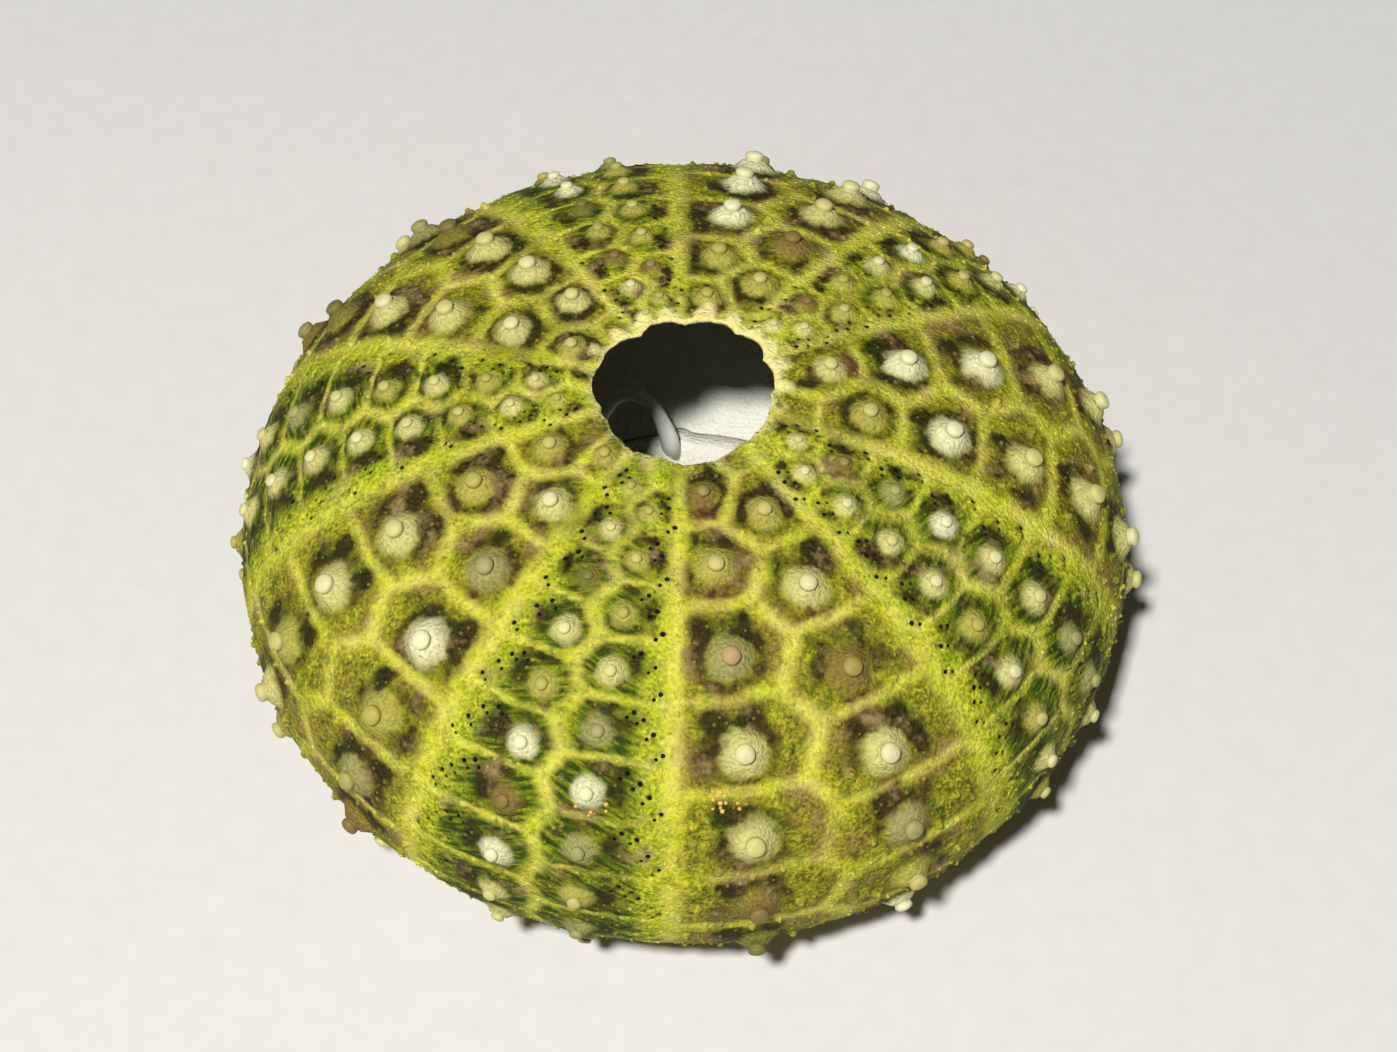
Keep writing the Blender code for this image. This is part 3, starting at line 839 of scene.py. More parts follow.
def inside_faces(first):
    """Quads between the rows, from edge to edge. first is the number of their first point."""
    rings = [np.arange(RIM_POINTS)]
    rings += [first + np.arange(RIM_POINTS) + n * RIM_POINTS for n in range(len(rows))]
    rings.append(RIM_POINTS + np.arange(RIM_POINTS))
    return [np.column_stack([np.roll(upper, 1), upper, lower, np.roll(lower, 1)])
            for upper, lower in zip(rings, rings[1:])]


walls = np.concatenate(inside_faces(len(arcs)))
print(len(rows), "rows and", len(walls), "quads inside")

# %% [markdown]
# ## The plates as one closed mesh
#
# On the real shell the plates are knit together, so they are one mesh here too, outside, wall
# and inside in one. The fields go onto its points as named attributes. A painted image could
# carry them, but it would need the shell unwrapped, and attributes stay exact at every point.
# Each piece made so stands for the imported solid and rides on its one body.

# %% Helpers that make an object and hand it in
def make_object(name, points, faces, fields_by_name, tint):
    """A shaded mesh object from points in mm, with its fields as named attributes."""
    mesh = bpy.data.meshes.new(name)
    mesh.from_pydata(points * MM, [], faces)
    mesh.update()
    mesh.shade_smooth()
    for field, values in fields_by_name.items():
        stored = mesh.attributes.new(field, "FLOAT", "POINT")
        stored.data.foreach_set("value", np.asarray(values, np.float32))
    stored = mesh.attributes.new("tint", "FLOAT_COLOR", "POINT")
    tint = np.column_stack([tint, np.ones(len(tint))])
    stored.data.foreach_set("color", tint.astype(np.float32).ravel())
    made = bpy.data.objects.new(name, mesh)
    bpy.context.scene.collection.objects.link(made)
    return made


def join_to_body(piece):
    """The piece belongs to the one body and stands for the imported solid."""
    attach(piece, "root")
    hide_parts(NODE)
    print(piece.name, sum(len(p.vertices) - 2 for p in piece.data.polygons), "triangles")


def above_floor(points):
    """Points below the floor are worn off flat, where the shell stands on its knobs."""
    points[:, 2] = np.maximum(points[:, 2], 0.0)
    return points


# %% The plates, their wall and their inside
MOUTH_EDGE_PALE = 0.6  # how pale the mouth's edge is, where 1 is the hole's
inside_count = len(inside_arcs)
shell_points_all = above_floor(np.concatenate([
    shell_points(azimuths, arcs, outside_lift),
    shell_points(inside_azimuths, inside_arcs, inside_lift),
]))
above_mouth = edge_at(inside_azimuths, mouth_edge) - inside_arcs
shell_fields = {name: np.concatenate([values, np.zeros(inside_count)])
                for name, values in outside.items()}
# Inside, the seam field holds the distance from the painted shade line along the girdle's foot.
shell_fields["seam"][-inside_count:] = np.abs(above_mouth - GIRDLE[0][0]) / CREASE_SHADE_HALF_WIDTH
# The pit field is also the mask of the painted shade in the pores.
shell_fields["pit"] = np.concatenate([depths, np.zeros(inside_count)])
on_edge = np.zeros(inside_count)
on_edge[:len(HOLE_ROUND) * RIM_POINTS] = 1.0
on_edge[-len(MOUTH_ROUND) * RIM_POINTS:] = MOUTH_EDGE_PALE
shell_fields["rim"][-inside_count:] = on_edge
shell_fields["inner"] = np.concatenate([np.zeros(len(arcs)), 1.0 - on_edge])
shell_faces = [tuple(f) for f in net.tolist()] + [tuple(f) for f in walls.tolist()]
shell = make_object("shell_plates", shell_points_all, shell_faces, shell_fields,
                    np.concatenate([outside_tint, np.ones((inside_count, 3))]))
join_to_body(shell)

# %% [markdown]
# ## The knobs
#
# On each boss stands a smooth ball on a short neck, the joint on which a spine turned. A ball
# is a turned form, so one half profile is spun round the boss's own upright. All the knobs
# are one mesh, which keeps the table of pieces short, and each has its own colour.

# %% Turned forms on the shell
Turned = namedtuple("Turned", "points faces azimuths arcs shares")


def quads_between(rings, sides):
    """Quads between this many rings of points, the rings stored one after another."""
    around = [(k, (k + 1) % sides) for k in range(sides)]
    return [(first + a, first + b, first + b + sides, first + a + sides)
            for first in range(0, (rings - 1) * sides, sides) for a, b in around]


def turned(azimuth, arc, radius, profile, sides):
    """A closed turned form on the shell. Its profile is (radius, height) in shares of radius."""
    angles = np.arange(sides) * math.tau / sides
    rings = [(azimuth + np.degrees(share * radius * np.cos(angles) / radius_at(arc)),
              arc - share * radius * np.sin(angles), np.full(sides, height * radius))
             for share, height in profile[:-1]]
    top = profile[-1][1] * radius
    base = profile[0][1] * radius
    azimuths_made = np.concatenate([r[0] for r in rings] + [[azimuth, azimuth]])
    arcs_made = np.concatenate([r[1] for r in rings] + [[arc, arc]])
    lifts = np.concatenate([r[2] for r in rings] + [[top, base]])
    faces = quads_between(len(rings), sides)
    last, tip, bottom = (len(rings) - 1) * sides, len(rings) * sides, len(rings) * sides + 1
    for k in range(sides):
        faces.append((last + k, last + (k + 1) % sides, tip))
        faces.append(((k + 1) % sides, k, bottom))
    points = shell_points(azimuths_made, arcs_made, lifts)
    heights = [height for _, height in profile]
    shares = np.concatenate([np.repeat(heights[:-1], sides), [heights[-1], heights[0]]])
    return Turned(points, faces, azimuths_made, arcs_made, shares)


def joined(forms):
    """Points and faces of many forms as one mesh."""
    faces, first = [], 0
    for form in forms:
        faces += [tuple(first + n for n in face) for face in form.faces]
        first += len(form.points)
    return np.concatenate([form.points for form in forms]), faces


print("a turned form of 3 rings with 8 sides has", len(quads_between(3, 8)), "quads round it")

# %% The knobs of the large tubercles
# (radius, height), both as shares of the tubercle's radius, from under the boss to the tip
BROAD_KNOB = ((0.38, 0.30), (0.35, 0.41), (0.345, 0.46), (0.355, 0.51), (0.365, 0.57),
              (0.35, 0.64), (0.30, 0.70), (0.21, 0.75), (0.11, 0.775), (0.0, 0.78))
NARROW_KNOB = ((0.37, 0.28), (0.345, 0.40), (0.35, 0.45), (0.365, 0.51), (0.35, 0.58),
               (0.28, 0.66), (0.15, 0.70), (0.0, 0.71))
BROAD_KNOB_SIDES = 18
NARROW_KNOB_SIDES = 14
KNOB_UNEVEN = 0.02
KNOB_UNEVEN_SIZE = 0.3


def make_knobs():
    forms, tints, heights = [], [], []
    for plate in plates:
        profile, sides = ((BROAD_KNOB, BROAD_KNOB_SIDES) if plate.kind is BROAD
                          else (NARROW_KNOB, NARROW_KNOB_SIDES))
        form = turned(plate.azimuth, plate.arc, plate.radius, profile, sides)
        forms.append(form)
        tints.append(np.tile(np.mean(tints_of(plate), axis=0), (len(form.points), 1)))
        # The height share drives the painted shade at each knob's neck.
        heights.append(form.shares / profile[-1][1])
    points, faces = joined(forms)
    points = above_floor(wander(points, KNOB_UNEVEN_SIZE, KNOB_UNEVEN))
    knobs = make_object("tubercle_knobs", points, faces, {"height": np.concatenate(heights)},
                        np.concatenate(tints))
    join_to_body(knobs)
    return knobs


knobs = make_knobs()

# %% [markdown]
# ## Small knobs and grains
#
# Between the large tubercles stand small ones, which carried short spines, and grains for
# the finest. They are what makes the shell look rough from a step away. The small knobs
# stand in the corners of the plates, and the grains are scattered with a least distance from each
# other, as crowding keeps them apart on the real shell. Both are turned domes in joined
# meshes, and they take the plate's own colours from the same fields, only paler.

# %% Places of the small knobs
SMALL_AT_HOLE = 0.5  # share of full size near the hole, where the plates are young
FULL_SIZE_ARC = 15.0
BROAD_SMALL = 0.30
NARROW_SMALL = 0.17
# Across as a share of the tubercle's radius, up as a share of the pitch, and share of full size
BROAD_SPOTS = ((-1.5, -0.10, 1.0), (1.5, 0.30, 0.62), (1.45, -0.36, 0.7), (-0.9, -0.47, 0.5))
MORE_BROAD_SPOTS = ((2.2, 0.0, 0.8), (0.15, 0.47, 0.5), (2.0, -0.4, 0.55), (2.7, 0.3, 0.6),
                    (2.9, -0.2, 0.55))
NARROW_SPOTS = ((-1.25, -0.3, 1.0), (1.2, -0.45, 0.6))
MORE_NARROW_SPOTS = ((1.9, 0.0, 0.8), (-1.2, 0.35, 0.7))
MORE_BROAD_ARC = 17.0  # from here on the plates are wide enough for more
MORE_NARROW_ARC = 20.0
SMALL_WANDER = 0.08
SMALL_MISSING = 0.12
SMALL_GROWTH = (0.8, 1.2)
SMALL_ARCS = (HOLE_ARC + 1.2, MOUTH_ARC - 0.5)
SMALL_GAP = 0.22
CLEAR_OF_PORES = 0.08
Small = namedtuple("Small", "azimuth arc radius")


def small_knobs_of(plate):
    """Small knobs in the corners of one plate."""
    growth = np.interp(plate.arc, (HOLE_ARC, FULL_SIZE_ARC), (SMALL_AT_HOLE, 1.0))
    out = towards_border(plate)
    if plate.kind is BROAD:
        size = BROAD_SMALL * growth
        spots = BROAD_SPOTS + (MORE_BROAD_SPOTS if plate.arc > MORE_BROAD_ARC else ())
    else:
        size = NARROW_SMALL * growth
        spots = NARROW_SPOTS + (MORE_NARROW_SPOTS if plate.arc > MORE_NARROW_ARC else ())
    found = []
    for across, up, share in spots:
        shift = rng.normal(0.0, SMALL_WANDER, 2)
        place = moved(plate.azimuth, plate.arc, out * (across * plate.radius + shift[0]),
                      up * plate.pitch + shift[1])
        if SMALL_ARCS[0] < place[1] < SMALL_ARCS[1] and rng.uniform() > SMALL_MISSING:
            found.append(Small(*place, size * share * rng.uniform(*SMALL_GROWTH)))
    return found


pore_tree = tree_of(pores)


def points_of(places):
    """Where the middles of small knobs or grains lie on the shell, in mm."""
    return shell_points(*np.array([p[:2] for p in places]).T)


def clear_of_tubercles(places, margin):
    """The places that stand clear of every large tubercle's foot and of the zones' pores."""
    kept = []
    for place, point in zip(places, points_of(places)):
        nearest = tubercle_tree.find(point)
        clear = nearest[2] > plates[nearest[1]].radius * margin + place.radius
        if clear and pore_tree.find(point)[2] > place.radius + CLEAR_OF_PORES:
            kept.append(place)
    return kept


def spaced(places, taken, gap):
    """The places that keep this gap to those taken and to each other, in the order given."""
    points = points_of(places)
    tree = make_tree(points)
    blocked = np.zeros(len(places), bool)
    if taken:
        for other, point in zip(taken, points_of(taken)):
            for _, n, _ in tree.find_range(point, other.radius + gap):
                blocked[n] = True
    kept = []
    for n, place in enumerate(places):
        if not blocked[n]:
            kept.append(place)
            for _, other, _ in tree.find_range(points[n], place.radius + gap):
                blocked[other] = True
    return kept


small_tries = [small for plate in plates for small in small_knobs_of(plate)]
small_places = spaced(clear_of_tubercles(small_tries, 1.0), [], SMALL_GAP)
print(len(small_places), "small knobs")

# %% Places of the grains
GRAIN_TRIES = 16000
GRAIN_RADII = (0.065, 0.12)
GRAIN_GAP = 0.20
GRAINS_MOST = 3600
GRAIN_ARCS = (HOLE_ARC + 0.6, MOUTH_ARC - 0.4)
GRAIN_STEPS = 400
GRAIN_MARGIN = 1.02


def grain_places():
    """Grains evenly over the outside, by area."""
    steps = np.linspace(*GRAIN_ARCS, GRAIN_STEPS)
    weight = np.cumsum(radius_at(steps))
    arcs_drawn = np.interp(rng.uniform(0, weight[-1], GRAIN_TRIES), weight, steps)
    azimuths_drawn = rng.uniform(0.0, 360.0, GRAIN_TRIES)
    sizes = rng.uniform(*GRAIN_RADII, GRAIN_TRIES)
    places = [Small(*place) for place in zip(azimuths_drawn, arcs_drawn, sizes)]
    clear = clear_of_tubercles(places, GRAIN_MARGIN)
    return spaced(clear, small_places, GRAIN_GAP)[:GRAINS_MOST]


grains = grain_places()
print(len(grains), "grains")

# %% The small knobs and the grains as joined meshes
SMALL_KNOB = ((1.0, -0.25), (0.96, 0.02), (0.75, 0.24), (0.55, 0.36), (0.44, 0.42), (0.46, 0.55),
              (0.36, 0.70), (0.18, 0.77), (0.0, 0.79))
SMALL_SIDES = 10
SMALL_PALE_FROM = 0.15  # share of its height from which a small knob grows pale
GRAIN = ((1.0, -0.3), (0.88, 0.15), (0.55, 0.45), (0.0, 0.58))
GRAIN_SIDES = 7
GRAIN_PALE_FROM = 0.35


def make_scattered(name, places, profile, sides, pale_from):
    """Turned forms standing on the plates at these places, coloured as they are, but paler."""
    base_azimuths, base_arcs = np.array([p[:2] for p in places]).T
    found, _ = fields(base_azimuths, base_arcs)
    ground = lifts_of(found, base_azimuths, base_arcs)
    forms = []
    for place, lift in zip(places, ground):
        scaled = [(share, height + lift / place.radius) for share, height in profile]
        forms.append(turned(place.azimuth, place.arc, place.radius, scaled, sides))
    points, faces = joined(forms)
    colours, tint = fields(np.concatenate([form.azimuths for form in forms]),
                           np.concatenate([form.arcs for form in forms]))
    heights = [(form.shares - form.shares.min()) / np.ptp(form.shares) for form in forms]
    colours["grain"] = between(np.concatenate(heights), pale_from, 1.0)
    made = make_object(name, above_floor(points), faces, colours, tint)
    join_to_body(made)
    return made


small_knobs = make_scattered("small_knobs", small_places, SMALL_KNOB, SMALL_SIDES, SMALL_PALE_FROM)
grain_piece = make_scattered("grains", grains, GRAIN, GRAIN_SIDES, GRAIN_PALE_FROM)

# %% [markdown]
# ## Grains of sand
#
# A few grains of orange sand have stayed on the shell in two spots, one beside a broad
# tubercle and one on the lower edge of a white one. They are lumps like the shell's own
# grains, so the same turned form serves, thrown about each spot by a normal spread.

# %% The two spots of sand
SAND_SPOTS = ((274.6, 16.85, 13, 0.42), (257.0, 17.35, 5, 0.32))  # azimuth, arc, count, spread
SAND_SPREAD_DOWN = 0.6  # as a share of the spread across
SAND_RADII = (0.07, 0.12)
SAND_GAP = 0.04


def sand_places():
    places = []
    for azimuth, arc, count, spread in SAND_SPOTS:
        for across, up in rng.normal(0.0, spread, (count, 2)) * (1.0, SAND_SPREAD_DOWN):
            places.append(Small(*moved(azimuth, arc, across, up), rng.uniform(*SAND_RADII)))
    return spaced(places, [], SAND_GAP)


sand = make_scattered("sand_grains", sand_places(), GRAIN, GRAIN_SIDES, GRAIN_PALE_FROM)

# %% [markdown]
# ## The arches inside the mouth
#
# Seen through the hole, five smooth white arches stand on the girdle, one to a narrow zone.
# The jaw's muscles were tied to them. Each is a flattened rod of bone-like lime that rises
# from both sides of its zone and leans together over the middle. A curve with a bevel would
# keep one round section, so each is swept here: an oval ring is carried along a path and
# grows wide and thin at its feet.

# %% Sweeping an arch
ARCH_FEET = 0.85  # how far out from the middle towards its borders a foot stands, as a share
ARCH_STEPS = 26
ARCH_SIDES = 14
ARCH_TOP = 5.3  # mm above the floor
ARCH_FULLNESS = 0.5  # power of the arch's sine: below 1 is fuller at the shoulders
ARCH_FOOT_ARC = MOUTH_ARC - 0.95
ARCH_FOOT_LIFT = -0.9
ARCH_LEAN_OUT = 0.9  # how far the top lies farther from the axis than the feet, in mm
FOOT_SIZE = (0.44, 0.36)  # half width along the mouth's edge and half thickness
TOP_SIZE = (0.34, 0.28)
SLENDER_FROM = 0.5  # share of its rise from which an arch is as slender as at its top
ARCH_WANDER = (1.2, 0.06)


def arch_path(zone):
    """Middle line of one arch from foot to foot, in mm."""
    low = zone.middle - ARCH_FEET * azimuth_gap(zone.low_border, zone.middle)
    high = zone.middle + ARCH_FEET * azimuth_gap(zone.middle, zone.high_border)
    share = np.linspace(0.0, 1.0, ARCH_STEPS)
    turn = np.radians(low + share * azimuth_gap(low, high))
    arch = np.sin(math.pi * share)
    foot = shell_points(low, ARCH_FOOT_ARC, ARCH_FOOT_LIFT)[0]
    foot_radius = math.hypot(foot[0] - AXIS[0], foot[1] - AXIS[1])
    height = foot[2] + (ARCH_TOP - foot[2]) * np.clip(arch, 0.0, None) ** ARCH_FULLNESS
    radius = foot_radius + ARCH_LEAN_OUT * arch
    across, along = radius * np.cos(turn) + AXIS[0], radius * np.sin(turn) + AXIS[1]
    return np.column_stack([across, along, height]), arch


def swept(path, arch):
    """A closed oval rod along a path, wide at its feet. Returns points and faces."""
    points = []
    forward = np.gradient(path, axis=0)
    for place, ahead, rise in zip(path, forward, arch):
        ahead = Vector(ahead).normalized()
        out = Vector((place[0] - AXIS[0], place[1] - AXIS[1], 0.0)).normalized()
        side = ahead.cross(out).normalized()
        out = side.cross(ahead)
        slender = float(between(rise, 0.0, SLENDER_FROM))
        width = FOOT_SIZE[0] + (TOP_SIZE[0] - FOOT_SIZE[0]) * slender
        thick = FOOT_SIZE[1] + (TOP_SIZE[1] - FOOT_SIZE[1]) * slender
        for angle in np.arange(ARCH_SIDES) * math.tau / ARCH_SIDES:
            sideways, outward = width * math.cos(angle), thick * math.sin(angle)
            points.append(Vector(place) + side * sideways + out * outward)
    faces = quads_between(len(path), ARCH_SIDES)
    faces.append(tuple(range(ARCH_SIDES))[::-1])
    faces.append(tuple(range((len(path) - 1) * ARCH_SIDES, len(path) * ARCH_SIDES)))
    return np.array([p[:] for p in points]), faces


# %% The five arches
arch_points, arch_faces = [], []
for zone in ZONES:
    if zone.kind is NARROW:
        points, faces = swept(*arch_path(zone))
        first = sum(len(p) for p in arch_points)
        arch_points.append(points)
        arch_faces += [tuple(first + n for n in face) for face in faces]
arch_points = wander(np.concatenate(arch_points), *ARCH_WANDER)
arches = make_object("mouth_arches", arch_points, arch_faces, {}, np.ones((len(arch_points), 3)))
join_to_body(arches)

# %% [markdown]
# ## Materials
#
# All of it is one stuff: calcite, laid down as a fine sponge and stained green by the living
# skin. It is dull, because the sponge scatters light, and has no gloss of a glaze, so its
# roughness is high. What differs is how dense it is: the knobs and arches are close-grained
# and pale, the plates open and coloured. A painted image could colour it, but would blur from
# near, so each finish is built of noise in real sizes and of the fields that the mesh carries.
# Below, n holds the noises and f the fields, both by name.

# %% One function to add a node
def node(tree, kind, output=0, inputs=None, **settings):
    """Adds a node, sets its settings, sets or links its inputs, and returns one output."""
    made = tree.nodes.new(kind)
    for name, value in settings.items():
        setattr(made, name, value)
    for name, value in (inputs or {}).items():
        if isinstance(value, bpy.types.NodeSocket):
            tree.links.new(value, made.inputs[name])
        else:
            made.inputs[name].default_value = value
    return made.outputs[output] if len(made.outputs) else made


def rgba(colour):
    return (*linear(colour), 1.0)


def new_finish(name):
    finish = bpy.data.materials.new(name)
    finish.use_nodes = True
    finish.node_tree.nodes.clear()
    return finish, finish.node_tree


# Inputs and output of the Mix node when it mixes colours
SHARE, FIRST, SECOND, MIXED = 0, 6, 7, 2
print("tan in linear light:", [round(part, 3) for part in linear(TINTS["tan"])])

# %% [markdown]
# ## Green stained calcite
#
# The plates are calcite stained by the skin's pigment, which went deepest round the
# tubercles and hardly into the seams. The colours are layered as they grew: first the green,
# then the brown and the dark that the fields place, then the seams, and the pale bosses over
# all. It is dull and speckled to the eye. The lime's own pores, 0.02 to 0.05 mm, would not
# show, so the fine speckle is drawn as coarse as 0.15 mm, and the blots at 0.45 mm.

# %% Noise of the plates
# Each is a size in mm and the detail in it
NOISE_SIZES = {"fine": (0.15, 4.0), "blots": (0.45, 4.0),
               "patches": (1.3, 3.0), "clouds": (4.0, 3.0)}


def plate_noise(tree):
    """Noise of each size by name, spread out so that it goes from 0 to 1."""
    place = node(tree, "ShaderNodeTexCoord", "Object")
    made = {}
    for name, (size, detail) in NOISE_SIZES.items():
        inputs = {"Vector": place, "Scale": 1.0 / (size * MM), "Detail": detail, "Roughness": 0.6}
        raw = node(tree, "ShaderNodeTexNoise", "Fac", inputs)
        spread = {"Value": raw, "From Min": 0.32, "From Max": 0.68}
        made[name] = node(tree, "ShaderNodeMapRange", 0, spread, clamp=False)
    return made


def plate_fields(tree):
    """The fields that the mesh carries, by name."""
    names = FIELDS + ("pit", "inner", "grain")
    return {name: node(tree, "ShaderNodeAttribute", "Fac", attribute_type="GEOMETRY",
                       attribute_name=name) for name in names}


def broken_up(tree, value, low, high, n, amount):
    """A field turned into a share, 0 at low and 1 at high, with its edge broken up by noise."""
    two = node(tree, "ShaderNodeMath", 0, {0: n["fine"], 1: 0.5, 2: n["blots"]},
               operation="MULTIPLY_ADD")
    three = node(tree, "ShaderNodeMath", 0, {0: n["patches"], 1: -1.25}, operation="ADD")
    centred = node(tree, "ShaderNodeMath", 0, {0: two, 1: three}, operation="ADD")
    uneven = node(tree, "ShaderNodeMath", 0, {0: centred, 1: amount, 2: value},
                  operation="MULTIPLY_ADD")
    ends = {"Value": uneven, "From Min": low, "From Max": high}
    return node(tree, "ShaderNodeMapRange", 0, ends, interpolation_type="SMOOTHSTEP")


# %% Colours that go with a noise
# Each tone goes from its first colour to its second with the noise named
TONES = {"broad": ("blots", "#4E5A09", "#AAA326"), "narrow": ("blots", "#4C6406", "#999B20"),
         "pore band": ("blots", "#86980E", "#BFBD30"), "dark": ("patches", "#242C06", "#3A2B0E"),
         "seam": ("patches", "#BABC20", "#DFD468")}


def tones_of(tree, n):
    """Each tone by name, as a colour to link."""
    return {name: node(tree, "ShaderNodeMix", MIXED, {
        SHARE: n[sort], FIRST: rgba(low), SECOND: rgba(high)}, data_type="RGBA")
            for name, (sort, low, high) in TONES.items()}


# %% The stain, from the field of a plate to its dark ring
COMB_MM = 0.25  # from one dark streak of the narrow zones to the next
COMB_LENGTH = 1.1  # of a streak, in mm
PORE_BAND = (0.9, 1.7)  # mm from the border, where the bright band of the pores ends


def combed(tree, f, n, bright):
    """Share of the dark streaks that run out between the pores of the narrow zones."""
    across = node(tree, "ShaderNodeMath", 0, {0: f["comb"], 1: 1.0 / COMB_MM}, operation="MULTIPLY")
    along = node(tree, "ShaderNodeMath", 0, {0: f["inward"], 1: 1.0 / COMB_LENGTH}, operation="MULTIPLY")
    place = node(tree, "ShaderNodeCombineXYZ", 0, {"X": across, "Y": along})
    streaks = node(tree, "ShaderNodeTexNoise", "Fac", {"Vector": place, "Scale": 1.0, "Detail": 2.0})
    rough = node(tree, "ShaderNodeMath", 0, {0: n["fine"], 1: 0.15, 2: streaks},
                 operation="MULTIPLY_ADD")
    sharp = node(tree, "ShaderNodeMapRange", 0, {"Value": rough, "From Min": 0.5, "From Max": 0.68,
                                                 "To Max": 0.95}, interpolation_type="SMOOTHSTEP")
    dull = node(tree, "ShaderNodeMapRange", 0, {"Value": bright, "To Min": 1.0, "To Max": 0.2})
    reach = node(tree, "ShaderNodeMath", 0, {0: dull, 1: f["narrow"]}, operation="MULTIPLY")
    return node(tree, "ShaderNodeMath", 0, {0: sharp, 1: reach}, operation="MULTIPLY")


def stain(tree, f, n, tones):
    """Green mottled with earth, then the brown, the streaks and the dark of each plate."""
    earth = node(tree, "ShaderNodeMapRange", 0, {"Value": n["patches"], "From Min": 0.35,
                                                 "To Max": 0.75})
    bright = node(tree, "ShaderNodeMapRange", 0, {
        "Value": f["inward"], "From Min": PORE_BAND[1], "From Max": PORE_BAND[0]},
        interpolation_type="SMOOTHSTEP")
    narrow = node(tree, "ShaderNodeMix", MIXED, {
        SHARE: bright, FIRST: tones["narrow"], SECOND: tones["pore band"]}, data_type="RGBA")
    layers = ((earth, rgba("#7C5E30")), (f["narrow"], narrow),
              (broken_up(tree, f["brown"], 0.15, 0.8, n, 0.4), rgba("#6E4A28")),
              (combed(tree, f, n, bright), rgba("#2B3C04")),
              (broken_up(tree, f["dark"], 0.1, 0.7, n, 0.5), tones["dark"]))
    colour = tones["broad"]
    for share, over in layers:
        colour = node(tree, "ShaderNodeMix", MIXED, {SHARE: share, FIRST: colour, SECOND: over},
                      data_type="RGBA")
    grain = node(tree, "ShaderNodeMapRange", 0, {"Value": n["fine"], "To Min": 0.5,
                                                 "To Max": 1.45})
    return node(tree, "ShaderNodeMix", MIXED, {SHARE: 1.0, FIRST: colour, SECOND: grain},
                data_type="RGBA", blend_type="MULTIPLY")


# %% The bare patches, the seams and the bosses over it
def bosses_and_seams(tree, f, colour, n, tones):
    """The stain worn off in patches, the seams, fainter in places, and each boss in its tint."""
    bare = node(tree, "ShaderNodeMapRange", 0, {"Value": n["patches"], "From Min": 0.72,
                                                "From Max": 1.1, "To Max": 0.5})
    wide = broken_up(tree, f["seam"], 1.75, 0.1, n, 0.6)
    both = node(tree, "ShaderNodeMath", 0, {0: n["clouds"], 1: n["blots"]}, operation="ADD")
    strength = node(tree, "ShaderNodeMapRange", 0, {
        "Value": both, "From Min": 0.5, "From Max": 1.3, "To Min": 0.35, "To Max": 1.0})
    seam = node(tree, "ShaderNodeMath", 0, {0: wide, 1: strength}, operation="MULTIPLY")
    whole = broken_up(tree, f["boss"], 1.08, 0.55, n, 0.22)
    worn_off = node(tree, "ShaderNodeMapRange", 0, {"Value": n["blots"], "To Min": 0.8,
                                                    "To Max": 1.0})
    boss = node(tree, "ShaderNodeMath", 0, {0: whole, 1: worn_off}, operation="MULTIPLY")
    tint = node(tree, "ShaderNodeAttribute", "Color", attribute_type="GEOMETRY",
                attribute_name="tint")
    for share, over in ((bare, rgba("#B89F66")), (seam, tones["seam"]), (boss, tint)):
        colour = node(tree, "ShaderNodeMix", MIXED, {SHARE: share, FIRST: colour, SECOND: over},
                      data_type="RGBA")
    return colour


# %% The edge of the hole, the white inside, the pores and the grains
def edges_and_pits(tree, f, colour, n):
    """Pale tips on the grains, the cream rim, the white inside with painted shade along its crease, and
    painted shade in the pores.
    """
    speckle = node(tree, "ShaderNodeMapRange", 0, {"Value": n["fine"], "To Min": 0.72,
                                                   "To Max": 1.18})
    colour = node(tree, "ShaderNodeMix", MIXED, {SHARE: 1.0, FIRST: colour, SECOND: speckle},
                  data_type="RGBA", blend_type="MULTIPLY")
    paler = node(tree, "ShaderNodeMath", 0, {0: f["grain"], 1: 0.22}, operation="MULTIPLY")
    rim = broken_up(tree, f["rim"], 0.2, 0.75, n, 0.22)
    # Painted shade: the white inside turns dark grey along the crease at the girdle's foot.
    off_crease_shade = node(tree, "ShaderNodeMapRange", 0, {"Value": f["seam"], "From Min": 0.3,
                                                      "From Max": 1.6})
    white = node(tree, "ShaderNodeMix", MIXED, {
        SHARE: off_crease_shade, FIRST: rgba("#5C5646"), SECOND: rgba("#DCDCCB")}, data_type="RGBA")
    # Painted shade: the pores are coloured near black from just inside their rims to their floors.
    pore = node(tree, "ShaderNodeMapRange", 0, {"Value": f["pit"], "From Min": 0.05,
                                                "From Max": 0.35})
    for share, over in ((paler, rgba("#C8C45A")), (rim, rgba("#E0D688")), (f["inner"], white),
                        (pore, rgba("#0C0D05"))):
        colour = node(tree, "ShaderNodeMix", MIXED, {SHARE: share, FIRST: colour, SECOND: over},
                      data_type="RGBA")
    return colour


# %% The whole finish of the plates
CALCITE_IOR = 1.6
SPONGE_SHINE = 0.1  # the open sponge has few mirror faces, so it shines less than solid calcite
PLATE_BUMP = 0.07  # mm


